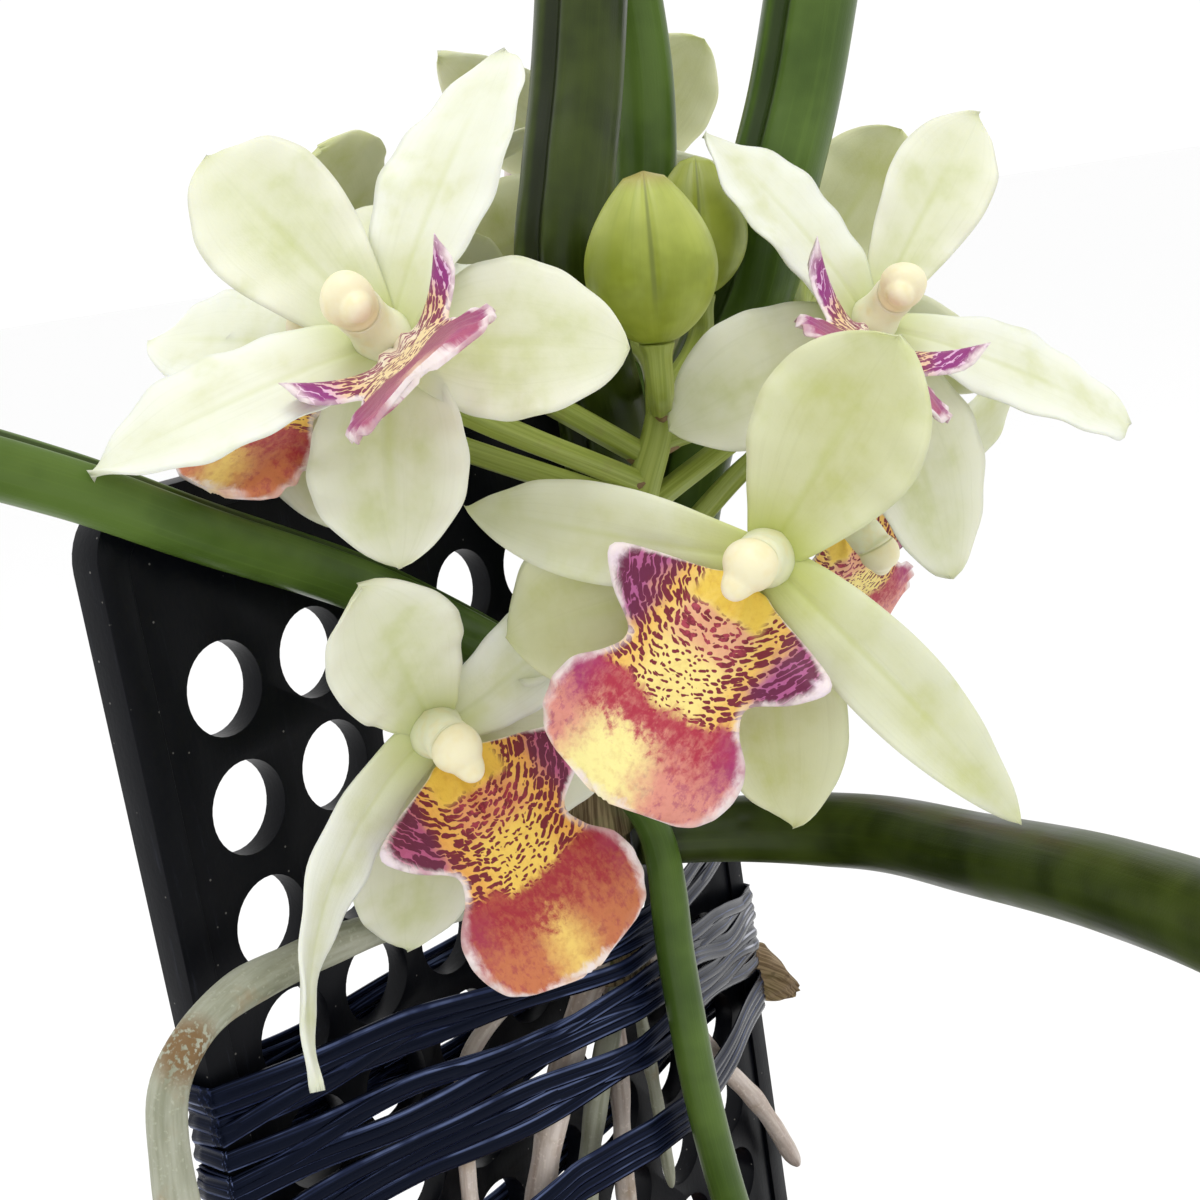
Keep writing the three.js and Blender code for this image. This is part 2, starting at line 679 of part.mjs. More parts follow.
const FLOWERS = {
  flower_a: {
    at: [-32.3, -11.4, 281],
    azimuth: -67,
    elevation: 29,
    roll: 40,
    root: 0.72,
    lip: { pitch: 38, droop: 0, size: 1, spread: 0.8, raise: 0.65 },
    dorsal: { length: 30, width: 15 },
    petal_right: { turn: 64, length: 34, width: 14, widest: 0.62, round: 0.6 },
    petal_left: { turn: -82.5, length: 32.5, lift: 29, bend: 14 },
    sepal_right: { turn: 135, length: 25, width: 16.5 },
    sepal_left: { turn: -139, length: 23.5, width: 16.5 },
  },
  flower_b: {
    at: [-31, -7, 238.5],
    azimuth: -32,
    elevation: -4,
    roll: 20,
    root: 0.2,
    via: [[-10, -7, 239]],
    lip: { pitch: 44, droop: 38, size: 1.12, spread: 0.88 },
    dorsal: { turn: -1, lift: 30, bend: 10, length: 24, width: 14.5 },
    petal_right: { turn: 88, length: 25, width: 10, lift: 0 },
    petal_left: {
      turn: -90, length: 43, sway: -72, width: 7, lift: 13, bend: 0, twist: -65, widest: 0.42,
    },
    sepal_right: { turn: 133, length: 27 },
    sepal_left: { turn: -148, length: 29 },
  },
  flower_c: {
    at: [-16.3, -43, 254],
    azimuth: -72,
    elevation: 5,
    roll: -38,
    root: 0.45,
    lip: { pitch: 48, droop: 45, size: 1.06, spread: 0.95 },
    dorsal: { lift: 15, bend: 5, length: 27 },
    petal_right: { turn: 96, length: 37, sway: 16, width: 8.5, widest: 0.5 },
    petal_left: { turn: -114, length: 33, width: 9.5 },
    sepal_right: { turn: 145, width: 14, length: 31 },
    sepal_left: { turn: -140, length: 31, width: 19, lift: 8 },
  },
  flower_d: {
    at: [28, -35.5, 272.5],
    azimuth: -34,
    elevation: 27,
    roll: -45,
    root: 0.85,
    lip: { pitch: 40, droop: 0, size: 1.12, spread: 0.82, raise: 0.65 },
    dorsal: { turn: -6, sway: 10, length: 34, width: 12.5, round: 0.75 },
    petal_right: { turn: 79, length: 36, widest: 0.68, round: 0.5 },
    petal_left: { turn: -74, length: 31, lift: 18 },
    sepal_right: { turn: 131, length: 33 },
    sepal_left: { turn: -148, length: 29 },
  },
  flower_e: {
    at: [-22.9, 4.5, 279.5],
    azimuth: -66,
    elevation: 31,
    roll: -20,
    root: 0.65,
    rear: true,
    lip: { pitch: 43, droop: 30, size: 0.92, spread: 0.72 },
    dorsal: { lift: 0, length: 23 },
    petal_right: { turn: 52, lift: 0, length: 24 },
    petal_left: { turn: -97, lift: 5, length: 26 },
    sepal_right: { turn: 160, lift: 12, length: 21 },
    sepal_left: { turn: -128, lift: 5, length: 17 },
  },
  flower_f: {
    at: [7, 26, 288],
    azimuth: 178,
    elevation: 51,
    roll: -42,
    root: 0.8,
    via: [[0, 4, 275]],
    rear: true,
    lip: { pitch: 45, droop: 30 },
  },
  flower_g: {
    at: [49, 15, 293],
    azimuth: 140,
    elevation: 18,
    roll: 40,
    root: 0.9,
    via: [[23.5, -5, 272], [25.5, 4, 277], [33, 10.5, 285]],
    rear: true,
    lip: { pitch: 45, droop: 30 },
  },
  flower_h: {
    at: [61, -9, 276],
    azimuth: 120,
    elevation: 0,
    roll: 40,
    root: 0.62,
    via: [[38, -19, 266]],
    rear: true,
    lip: { pitch: 50, droop: 30 },
  },
  flower_i: {
    at: [45, -19, 246.5],
    azimuth: -9,
    elevation: -49,
    roll: 30,
    root: 0.35,
    rear: true,
    lip: { pitch: 50, droop: 30 },
    sepal_right: { length: 22 },
    sepal_left: { length: 22 },
  },
};

function makeFlowers() {
  for (const [name, flower] of Object.entries(FLOWERS)) {
    const matrix = flowerMatrix(flower);
    const place = flower.rear ? 'rear' : 'front';
    const parts = [solidFrom(columnGeometry(COLUMN_SIDES[place]))];
    for (const [tepal, shape] of Object.entries(TEPAL_SHAPES)) {
      const form = { ...shape, ...flower[tepal] };
      parts.push(solidFrom(blade(tepalGrid(form, ...TEPAL_GRID[place]), TEPAL_THICKNESS)));
    }
    const lip = blade(lipGrid(flower.lip, ...LIP_GRID[place]), LIP_THICKNESS);
    addPiece(name, geometryFrom(union(parts)).applyMatrix4(matrix), IVORY, 0.55);
    addPiece(`${name}_lip`, geometryFrom(solidFrom(lip)).applyMatrix4(matrix), LIP_RED, 0.55);
  }
}

// Buds: plump, with the seams of the closed sepals, on their stalks

const BUDS = {
  bud_front: { foot: [2.5, -21, 275.5], tip: [1.5, -23, 294.5], radius: 7.4, root: 0.95 },
  bud_back: { foot: [26, -13, 279], tip: [26, -15, 296], radius: 6.2, root: 0.98 },
};

function budGeometry({ foot, tip, radius }) {
  const middle = vector(foot).lerp(vector(tip), 0.5).toArray();
  const radiusAt = (s) => radius * Math.max(0.16, Math.sin(Math.PI * (0.06 + 0.9 * s ** 0.85)) ** 0.75);
  return taperedTube([foot, middle, tip], radiusAt, 9, 8, 0.06);
}

function makeBuds() {
  for (const [name, bud] of Object.entries(BUDS)) {
    addPiece(name, geometryFrom(solidFrom(budGeometry(bud))), BUD_GREEN, 0.5);
  }
}

// Flower spike: the short rachis and the stalk of every flower and bud, grown as one piece

const RACHIS = new THREE.CatmullRomCurve3([
  [15, 0, 234], [11.5, -6, 240], [7, -9.5, 248], [7.5, -12, 256], [10, -14, 263], [11.5, -15, 268],
].map(vector));

function stalkPath(flower) {
  const matrix = flowerMatrix(flower);
  const behind = (x, y, z) => new THREE.Vector3(x, y, z).applyMatrix4(matrix).toArray();
  const root = RACHIS.getPointAt(flower.root).toArray();
  const bends = flower.via ?? [];
  return [root, ...bends, behind(0, -1.5, -12), behind(0, 0.6, -NECK_LENGTH - 2 * CLEARANCE)];
}

function makeSpike() {
  const rachis = RACHIS.points.map((p) => p.toArray());
  const radiusAt = (s) => RACHIS_RADIUS - RACHIS_TAPER * s;
  const parts = [solidFrom(taperedTube(rachis, radiusAt, STEM_SIDES, RACHIS_STEPS))];
  const swellAt = (s) => PEDICEL_RADIUS * (1 + 0.15 * s);
  for (const flower of Object.values(FLOWERS)) {
    parts.push(solidFrom(taperedTube(stalkPath(flower), swellAt, PEDICEL_SIDES, PEDICEL_STEPS)));
  }
  for (const bud of Object.values(BUDS)) {
    const axis = vector(bud.tip).sub(vector(bud.foot)).normalize();
    const end = vector(bud.foot).addScaledVector(axis, -CLEARANCE);
    const bend = end.clone().addScaledVector(axis, -5);
    const path = [RACHIS.getPointAt(bud.root).toArray(), bend.toArray(), end.toArray()];
    parts.push(solidFrom(taperedTube(path, () => PEDICEL_RADIUS, PEDICEL_SIDES, PEDICEL_STEPS)));
  }
  const spike = union(parts).subtract(stemSolid(CLEARANCE));
  addPiece('flower_spike', geometryFrom(spike), SPIKE_GREEN, 0.6);
}

makePot();
makeMedium();
makePanel();
makeStem();
makeLeaves();
makeRoots();
makeStraps();
makeDryLeaf();
makeSpike();
makeFlowers();
makeBuds();

export default plant;
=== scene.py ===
"""Looks of a hybrid orchid tied to a black perforated panel that stands in a nursery pot.

Sizes in the sections are millimetres, as in the part's own source. MM turns them into metres.
"""

import math
import random

import bpy
import numpy as np
from mathutils import Matrix, Vector


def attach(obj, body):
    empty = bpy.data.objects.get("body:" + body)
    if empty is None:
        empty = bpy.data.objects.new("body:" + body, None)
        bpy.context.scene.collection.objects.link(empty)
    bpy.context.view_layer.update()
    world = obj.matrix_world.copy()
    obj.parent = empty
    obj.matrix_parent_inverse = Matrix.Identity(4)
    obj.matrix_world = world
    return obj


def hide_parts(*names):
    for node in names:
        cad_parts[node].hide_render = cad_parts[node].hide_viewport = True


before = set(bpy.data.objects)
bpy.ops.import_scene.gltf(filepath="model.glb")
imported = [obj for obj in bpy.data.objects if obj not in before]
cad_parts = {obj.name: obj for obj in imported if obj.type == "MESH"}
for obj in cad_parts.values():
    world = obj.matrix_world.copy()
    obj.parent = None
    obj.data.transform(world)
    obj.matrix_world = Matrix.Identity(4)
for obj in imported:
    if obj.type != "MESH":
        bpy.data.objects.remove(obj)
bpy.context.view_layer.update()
MM = 0.001


# Camera, floor and daylight
# The camera stands close to the plant at its left front and looks slightly down, with a small roll.
# A pale floor runs out to the horizon; one broad lamp and a pale sky give soft light from above.

EYE = (-159.9, -128.7, 289.5)
YAW, PITCH, ROLL = 53.2, -12.6, -8.7
FOCAL_PIXELS = 1664
IMAGE_PIXELS = 1200
FLOOR_RADIUS = 40000
FLOOR_WHITE = 0.94
SKY_STRENGTH = 1.04
BLOOM_MIDDLE = (0, -20, 250)
LAMP_DISTANCE = 1100
LAMP_SIZE = 500
LAMP_WATTS = 3.3

yaw, pitch, roll = (math.radians(angle) for angle in (YAW, PITCH, ROLL))
ahead = Vector((math.sin(yaw) * math.cos(pitch), math.cos(yaw) * math.cos(pitch), math.sin(pitch)))
level = Vector((math.cos(yaw), -math.sin(yaw), 0))
rightward = level * math.cos(roll) + level.cross(ahead) * math.sin(roll)
upward = rightward.cross(ahead)
eye = bpy.data.cameras.new("photo_view")
eye.sensor_width = 36
eye.lens = eye.sensor_width * FOCAL_PIXELS / IMAGE_PIXELS
eye.clip_start = 0.01
camera = bpy.data.objects.new("photo_view", eye)
camera.matrix_world = Matrix((rightward, upward, -ahead)).transposed().to_4x4()
camera.location = Vector(EYE) * MM
bpy.context.collection.objects.link(camera)
bpy.context.scene.camera = camera
bpy.context.scene.view_settings.view_transform = "Standard"

bpy.ops.mesh.primitive_circle_add(vertices=96, radius=FLOOR_RADIUS * MM, fill_type="NGON")
floor = bpy.context.object
floor.name = "floor"
floor_paint = bpy.data.materials.new("floor_paint")
floor_paint.use_nodes = True
floor_shader = floor_paint.node_tree.nodes["Principled BSDF"].inputs
floor_shader["Base Color"].default_value = (FLOOR_WHITE, FLOOR_WHITE, FLOOR_WHITE, 1)
floor_shader["Roughness"].default_value = 0.9
floor.data.materials.append(floor_paint)

sky = bpy.data.worlds.new("sky")
sky.use_nodes = True
sky.node_tree.nodes["Background"].inputs["Color"].default_value = (1, 1, 1, 1)
sky.node_tree.nodes["Background"].inputs["Strength"].default_value = SKY_STRENGTH
bpy.context.scene.world = sky

lamp = bpy.data.lights.new("day_lamp", "AREA")
lamp.size = LAMP_SIZE * MM
lamp.energy = LAMP_WATTS
toward_lamp = upward * 0.9 - rightward * 0.12 - ahead * 0.45
holder = bpy.data.objects.new("day_lamp", lamp)
holder.location = (Vector(BLOOM_MIDDLE) + toward_lamp.normalized() * LAMP_DISTANCE) * MM
holder.rotation_euler = (-toward_lamp).to_track_quat("-Z", "Y").to_euler()
bpy.context.collection.objects.link(holder)


# Pot
# A black injection-moulded nursery pot: thin wall, stepped rim band and five drain holes in its foot.
# It is one moulding; the drain holes are punched through the floor.

POT_HEIGHT = 100
POT_FOOT_RADIUS = 58
POT_RIM_RADIUS = 76
POT_WALL = 2.4
POT_FLOOR = 4
POT_RIM_BAND = 9
POT_RIM_STEP = 2
POT_SEGMENTS = 120
DRAIN_RADIUS = 5
DRAIN_CIRCLE = 34
DRAIN_COUNT = 5
DRAIN_SIDES = 32


def put(socket, value):
    """Leads a wire, or each of a list of wires, to the socket, or sets a plain value there."""
    if isinstance(value, Wire):
        socket.id_data.links.new(value.socket, socket)
    elif isinstance(value, list):
        for wire in value:
            put(socket, wire)
    elif socket.type == "RGBA" and len(value) == 3:
        socket.default_value = (*value, 1)
    else:
        socket.default_value = value


def node_maker(tree):
    def make(kind, *values, out=0, **named):
        """Adds a node and returns what comes out of it. The values go to its inputs in order, and None
        skips one. A capitalised word is an input, with _ for a space; other words are settings."""
        node = tree.nodes.new(kind)
        inputs = dict(enumerate(values))
        for word, value in named.items():
            if word[0].isupper():
                inputs[word.replace("_", " ")] = value
            else:
                setattr(node, word, value)
        for key, value in inputs.items():
            if value is not None:
                put(node.inputs[key], value)
        return Wire(node, out)
    return make


class Wire:
    """What comes out of a node of a surface or a Geometry Nodes tree. Sums with it add Math nodes."""

    def __init__(self, node, output=0):
        self.socket = node.outputs[output]
        self.make = node_maker(node.id_data)

    def sum(self, operation, second=0.0):
        return self.make("ShaderNodeMath", self, second, operation=operation)

    def __add__(self, other):
        return self.sum("ADD", other)

    def __sub__(self, other):
        return self.sum("SUBTRACT", other)

    def __rsub__(self, other):
        return self.make("ShaderNodeMath", other, self, operation="SUBTRACT")

    def __mul__(self, other):
        return self.sum("MULTIPLY", other)

    def __truediv__(self, other):
        return self.sum("DIVIDE", other)

    def __abs__(self):
        return self.sum("ABSOLUTE")

    def axis(self, index):
        return self.make("ShaderNodeSeparateXYZ", self, out=index)

    def noise(self, scale, detail=3.0, roughness=0.55, distortion=0.0):
        return self.make(
            "ShaderNodeTexNoise", Vector=self, Scale=scale, Detail=detail, Roughness=roughness,
            Distortion=distortion, out="Fac",
        )

    def cells(self, scale, randomness=1.0, dimensions="3D"):
        return self.make(
            "ShaderNodeTexVoronoi", voronoi_dimensions=dimensions, Vector=self, Scale=scale,
            Randomness=randomness, out="Distance",
        )

    def step(self, low, high, start=0.0, end=1.0):
        """A smooth step from start at low to end at high."""
        return self.make(
            "ShaderNodeMapRange", interpolation_type="SMOOTHSTEP", Value=self, From_Min=low, From_Max=high,
            To_Min=start, To_Max=end,
        )

    def near(self, spot, reach):
        """1 at the spot, falling to 0 at reach millimetres from it."""
        away = self.make("ShaderNodeVectorMath", self, spot, operation="DISTANCE", out="Value")
        return away.step(0.3 * reach, reach, 1, 0)


def mix(share, first, second, blend="MIX"):
    """The first colour with that share of the second over it."""
    return share.make(
        "ShaderNodeMix", share, *[None] * 5, first, second, data_type="RGBA", blend_type=blend, out=2
    )


class Finish:
    """A procedural surface: one Principled shader and the nodes that feed it."""

    def __init__(self, name, roughness, subsurface=0.0, specular=0.5):
        self.material = bpy.data.materials.new(name)
        self.material.use_nodes = True
        self.make = node_maker(self.material.node_tree)
        self.shader = self.material.node_tree.nodes["Principled BSDF"].inputs
        self.bump = {}
        for word, value in {
            "Roughness": roughness, "Specular IOR Level": specular, "Subsurface Weight": subsurface,
            "Subsurface Radius": (1, 0.9, 0.45), "Subsurface Scale": 1.2 * MM,
        }.items():
            self.shader[word].default_value = value

    def place(self, stretch=(1, 1, 1)):
        """Where a point is on the object, in millimetres times the stretch."""
        source = self.make("ShaderNodeTexCoord", out="Object")
        return self.make("ShaderNodeMapping", Vector=source, Scale=tuple(share / MM for share in stretch))

    def grain(self, stretch=(1, 1, 1), attribute="grain"):
        """Where a point is on its own piece, such as round it and along it, times the stretch."""
        source = self.make("ShaderNodeAttribute", attribute_name=attribute, out="Vector")
        return self.make("ShaderNodeMapping", Vector=source, Scale=stretch)

    def colour(self, value):
        put(self.shader["Base Color"], value)

    def gloss(self, value):
        put(self.shader["Roughness"], value)

    def relief(self, height, depth, strength=1.0):
        """Bump of the given depth in millimetres, over the bump that is there."""
        self.bump["Normal"] = self.make(
            "ShaderNodeBump", Strength=strength, Distance=depth * MM, Height=height, **self.bump
        )
        put(self.shader["Normal"], self.bump["Normal"])


def loft(rings, grain):
    """A closed skin over rings of points, with a fan over each end, faces outwards.

    Returns its vertices, faces and the grain coordinates of each vertex.
    """
    rings, grain = np.asarray(rings, float), np.asarray(grain, float)
    count, around = rings.shape[:2]
    skin, grains = (
        np.concatenate([rows.reshape(-1, 3), [rows[0].mean(0)], [rows[-1].mean(0)]])
        for rows in (rings, grain)
    )
    faces = []
    for i in range(count - 1):
        for k in range(around):
            a, b = i * around + k, i * around + (k + 1) % around
            faces.append((a, b, b + around, a + around))
    first, last = count * around, (count - 1) * around
    for k in range(around):
        following = (k + 1) % around
        faces.append((first, following, k))
        faces.append((first + 1, last + k, last + following))
    corners = np.array([(face[0], face[i], face[i + 1]) for face in faces for i in range(1, len(face) - 1)])
    p, q, r = (skin[corners[:, k]] for k in range(3))
    if np.einsum("ij,ij->i", p, np.cross(q, r)).sum() < 0:
        faces = [face[::-1] for face in faces]
    return skin, faces, grains


def assemble(name, parts, finishes):
    """One mesh object from parts of (skin, faces, grain, finish index), in millimetres."""
    vertices, faces, grains, numbers = [], [], [], []
    start = 0
    for skin, part_faces, grain, number in parts:
        vertices.append(skin)
        grains.append(grain)
        faces.extend(tuple(start + i for i in face) for face in part_faces)
        numbers.extend([number] * len(part_faces))
        start += len(skin)
    mesh = bpy.data.meshes.new(name)
    mesh.from_pydata((np.concatenate(vertices) * MM).tolist(), [], faces)
    grain_store = mesh.attributes.new("grain", "FLOAT_VECTOR", "POINT")
    grain_store.data.foreach_set("vector", np.concatenate(grains).ravel())
    mesh.polygons.foreach_set("use_smooth", [True] * len(faces))
    mesh.polygons.foreach_set("material_index", numbers)
    for finish in finishes:
        mesh.materials.append(finish.material)
    mesh.update()
    piece = bpy.data.objects.new(name, mesh)
    bpy.context.collection.objects.link(piece)
    return piece


def fix(piece, slot, *nodes):
    """The piece rides on the plant's one body and stands for its CAD nodes."""
    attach(piece, "root")
    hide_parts(*nodes)


def settled(piece):
    """The piece's mesh as its modifiers leave it, with the modifiers gone."""
    bpy.context.view_layer.update()
    seen = piece.evaluated_get(bpy.context.evaluated_depsgraph_get())
    mesh = bpy.data.meshes.new_from_object(seen)
    mesh.name = piece.name
    piece.modifiers.clear()
    result = bpy.data.objects.new(piece.name + "_made", mesh)
    bpy.context.collection.objects.link(result)
    bpy.data.objects.remove(piece)
    return result


pot_black = Finish("pot_black", roughness=0.42, specular=0.2)
pot_grit = pot_black.place().noise(2.2, 4)
pot_streaks = pot_black.place((0.35, 0.35, 0.04)).noise(1.0, 4)
pot_black.colour(mix(pot_grit.step(0.52, 0.75, 0, 0.35), (0.006, 0.006, 0.007), (0.05, 0.047, 0.043)))
pot_black.gloss(pot_streaks.step(0.3, 0.7, 0.38, 0.48))
pot_black.relief(pot_grit, 0.12, 0.25)

foot, rim, top = POT_FOOT_RADIUS, POT_RIM_RADIUS, POT_HEIGHT
under_rim, rim_foot = rim - POT_RIM_STEP, top - POT_RIM_BAND
inner_foot, inner_rim = foot - POT_WALL, under_rim - POT_WALL
pot_profile = [
    (0.5, 0), (20, 0), (DRAIN_CIRCLE, 0), (50, 0), (foot - 1.4, 0), (foot - 0.4, 0.35), (foot, 1.2),
    (foot + 0.7, 5), (foot + 4, 24.5), (foot + 8, 46.5), (foot + 12, 69), (under_rim - 0.3, rim_foot - 0.6),
    (under_rim + 0.3, rim_foot - 0.1), (rim - 0.5, rim_foot + 0.3), (rim - 0.1, rim_foot + 1.1),
    (rim, rim_foot + 3), (rim, top - 1.6), (rim - 0.3, top - 0.5), (rim - 1.1, top), (inner_rim + 1.1, top),
    (inner_rim + 0.3, top - 0.4), (inner_rim, top - 1.4), (inner_rim - 5, 70), (inner_rim - 10, 36),
    (inner_foot + 0.4, POT_FLOOR + 1.4), (inner_foot - 1, POT_FLOOR), (50, POT_FLOOR), (20, POT_FLOOR),
    (0.5, POT_FLOOR),
]
angles = np.linspace(0, 2 * math.pi, POT_SEGMENTS, endpoint=False)
circle = np.stack([np.cos(angles), np.sin(angles), np.zeros(POT_SEGMENTS)], 1)
pot_rings = [radius * circle + (0, 0, height) for radius, height in pot_profile]
pot = assemble("nursery_pot", [(*loft(pot_rings, pot_rings), 0)], [pot_black])
drains = []
for i in range(DRAIN_COUNT):
    angle = 2 * math.pi * i / DRAIN_COUNT
    bpy.ops.mesh.primitive_cylinder_add(
        vertices=DRAIN_SIDES, radius=DRAIN_RADIUS * MM, depth=4 * POT_FLOOR * MM,
        location=(DRAIN_CIRCLE * math.cos(angle) * MM, DRAIN_CIRCLE * math.sin(angle) * MM, 0),
    )
    drains.append(bpy.context.object)
    punch = pot.modifiers.new("drain", "BOOLEAN")
    punch.operation = "DIFFERENCE"
    punch.object = bpy.context.object
pot = settled(pot)
for drain in drains:
    bpy.data.objects.remove(drain)
pot.data.set_sharp_from_angle(angle=math.radians(40))
fix(pot, "pot_plastic", "pot")


# Potting bark
# Coarse pine bark that fills the pot: a bed of small crumbs with broken chips lying over one another.
# The panel's foot is pushed down into it.

MEDIUM_TOP = 88
MEDIUM_BOTTOM = 74
CHIP_COUNT = 420
CHIP_LENGTH = 15
CHIP_SHAPE = (1, 0.55, 0.34)
CHIP_SPREAD = (0.45, 1.15)
CHIP_LIFT = 6.5
CHIP_FLOOR = 60
CRUMBLE = 6.5
CRUMB_SCALE = 190.0
BED_RADIUS = 70
BED_RADII = (2, 10, 18, 26, 34, 42, 50, 58, 64, 67)
BED_SIDES = 60
BED_CROWN = 1.6
BED_ROUGHNESS = 0.8


def start_tree(name, **sizes):
    """A Geometry Nodes tree with a named input for each size; returns its maker and inputs too."""
    tree = bpy.data.node_groups.new(name, "GeometryNodeTree")
    kinds = {label: "Int" if isinstance(size, int) else "Float" for label, size in sizes.items()}
    for label, kind in {"Geometry": "Geometry", **kinds, "Material": "Material"}.items():
        tree.interface.new_socket(label, in_out="INPUT", socket_type="NodeSocket" + kind)
    tree.interface.new_socket("Geometry", in_out="OUTPUT", socket_type="NodeSocketGeometry")
    source = tree.nodes.new("NodeGroupInput")
    return tree, node_maker(tree), {item.name: Wire(source, item.name) for item in source.outputs[:-1]}


def end_tree(tree, make, given, geometry):
    """The made geometry leaves the tree as plain mesh with the piece's material."""
    real = make("GeometryNodeRealizeInstances", Geometry=geometry)
    painted = make("GeometryNodeSetMaterial", Geometry=real, Material=given["Material"])
    put(tree.nodes.new("NodeGroupOutput").inputs[0], painted)


def grow(piece, tree, finish, **sizes):
    """Runs the tree on the piece with its sizes set by socket identifier; returns the plain mesh object."""
    modifier = piece.modifiers.new(tree.name, "NODES")
    modifier.node_group = tree
    values = dict(sizes, Material=finish.material)
    for item in tree.interface.items_tree:
        if item.item_type == "SOCKET" and item.in_out == "INPUT" and item.name in values:
            modifier[item.identifier] = values[item.name]
    return settled(piece)


bark_brown = Finish("bark_brown", roughness=0.85, specular=0.25)
bark_patches = bark_brown.place().noise(0.16, 2)
bark_layers = bark_brown.place((0.6, 0.6, 2.6)).noise(1.0, 6, 0.65)
bark_tone = mix(bark_layers.step(0.35, 0.68), (0.06, 0.03, 0.018), (0.24, 0.13, 0.07))
bark_brown.colour(mix(bark_patches.step(0.5, 0.66, 0, 0.7), bark_tone, (0.10, 0.085, 0.07)))
bark_brown.relief(bark_layers, 0.7, 0.8)

BARK_SIZES = dict(
    Density=CHIP_COUNT / (math.pi * (BED_RADIUS * MM) ** 2), Length=CHIP_LENGTH * MM, Crumble=CRUMBLE * MM,
    Seed=4,
)
bark_tree, make, given = start_tree("bark_chips", **BARK_SIZES)
spread = make(
    "GeometryNodeDistributePointsOnFaces", distribute_method="RANDOM", Mesh=given["Geometry"],
    Density=given["Density"], Seed=given["Seed"], out="Points",
)
chip = make("GeometryNodeMeshCube", Size=CHIP_SHAPE)
chip_cut = make("GeometryNodeSubdivideMesh", Mesh=chip, Level=1)
spin = make(
    "FunctionNodeRandomValue", (-0.5, -0.5, 0), (0.5, 0.5, 6.28), data_type="FLOAT_VECTOR",
    Seed=given["Seed"],
)
swell = make(
    "FunctionNodeRandomValue", None, None, *CHIP_SPREAD, data_type="FLOAT", Seed=given["Seed"], out=1
)
laid = make(
    "GeometryNodeInstanceOnPoints", Points=spread, Instance=chip_cut, Rotation=spin,
    Scale=swell * given["Length"],
)
real = make("GeometryNodeRealizeInstances", Geometry=laid)
crumbled = make("ShaderNodeTexNoise", Scale=CRUMB_SCALE, Detail=2.0, out="Color")
centred = make("ShaderNodeVectorMath", crumbled, (0.5, 0.5, 0.5), operation="SUBTRACT")
shove = make("ShaderNodeVectorMath", centred, operation="SCALE", Scale=given["Crumble"])
broken = make("GeometryNodeSetPosition", Geometry=real, Offset=shove)
both = make("GeometryNodeJoinGeometry", [broken, given["Geometry"]])
end_tree(bark_tree, make, given, both)

bed_random = random.Random(3)
bed_rings = []
for radius in BED_RADII:
    height = MEDIUM_TOP + 1.2 - BED_CROWN * (radius / BED_RADII[-1]) ** 2
    ring = []
    for k in range(BED_SIDES):
        angle = 2 * math.pi * k / BED_SIDES
        crumb = bed_random.uniform(-BED_ROUGHNESS, BED_ROUGHNESS)
        ring.append((radius * math.cos(angle), radius * math.sin(angle), height + crumb))
    bed_rings.append(ring)
bed_rings.append([(x * 0.97, y * 0.97, MEDIUM_BOTTOM) for x, y, _ in bed_rings[-1]])
bed = assemble("bark_bed", [(*loft(bed_rings, bed_rings), 0)], [bark_brown])
bark = grow(bed, bark_tree, bark_brown, **BARK_SIZES)
bark.name = "potting_bark"
bark_points = np.empty(len(bark.data.vertices) * 3)
bark.data.vertices.foreach_get("co", bark_points)
bark_points = bark_points.reshape(-1, 3)
reach = np.hypot(bark_points[:, 0], bark_points[:, 1])
limit = (BED_RADIUS - 1.6 + (bark_points[:, 2] / MM - MEDIUM_TOP) * 0.15) * MM
pull = np.where(reach > limit, limit / np.maximum(reach, 1e-6), 1)
bark_points[:, :2] *= pull[:, None]
bark_points[:, 2] = np.clip(bark_points[:, 2], CHIP_FLOOR * MM, (MEDIUM_TOP + CHIP_LIFT) * MM)
bark.data.vertices.foreach_set("co", bark_points.ravel())
bark.data.polygons.foreach_set("use_smooth", [False] * len(bark.data.polygons))
fix(bark, "bark", "bark")


# Perforated panel
# A stiff black plastic plate with rows of round holes and a slightly raised border, cut from a
# moulded tray. Its hole edges are rounded and its face is scuffed and dusty from use.

HOLE_PITCH = 14
HOLE_RADIUS = 5.4
HOLE_COLUMNS = 7
HOLE_ROWS = 11
PANEL_WIDTH = 111
PANEL_TOP = 269.5
PANEL_BOTTOM = 68.5
PANEL_TOP_ROW = 246
PANEL_FRONT = 12
PANEL_THICKNESS = 4.2
PANEL_CORNER = 7
BORDER_WIDTH = 3.8
FIELD_SINK = 0.5
EDGE_ROUNDING = 0.5
HOLE_SIDES = 36
CORNER_SIDES = 10
EDGE_ANGLE = 50

panel_black = Finish("panel_black", roughness=0.4, specular=0.11)
panel_place = panel_black.place()
panel_cloud = panel_place.noise(0.045, 3)
panel_scuffs = panel_black.place((1.2, 1.2, 0.12)).noise(1.0, 5, 0.7)
panel_dust = panel_scuffs.step(0.55, 0.8) * panel_cloud.step(0.4, 0.65, 0.1, 0.55)
panel_tone = mix(panel_dust, (0.0025, 0.003, 0.005), (0.030, 0.035, 0.052))
panel_specks = panel_place.cells(0.42).step(0.035, 0.07, 1, 0) * 0.5
panel_black.colour(mix(panel_specks, panel_tone, (0.28, 0.27, 0.25)))
panel_black.gloss(panel_cloud.step(0.3, 0.7, 0.28, 0.5))
panel_black.relief(panel_place.noise(1.6, 3), 0.06, 0.4)
panel_black.relief(panel_scuffs, 0.1, 0.25)

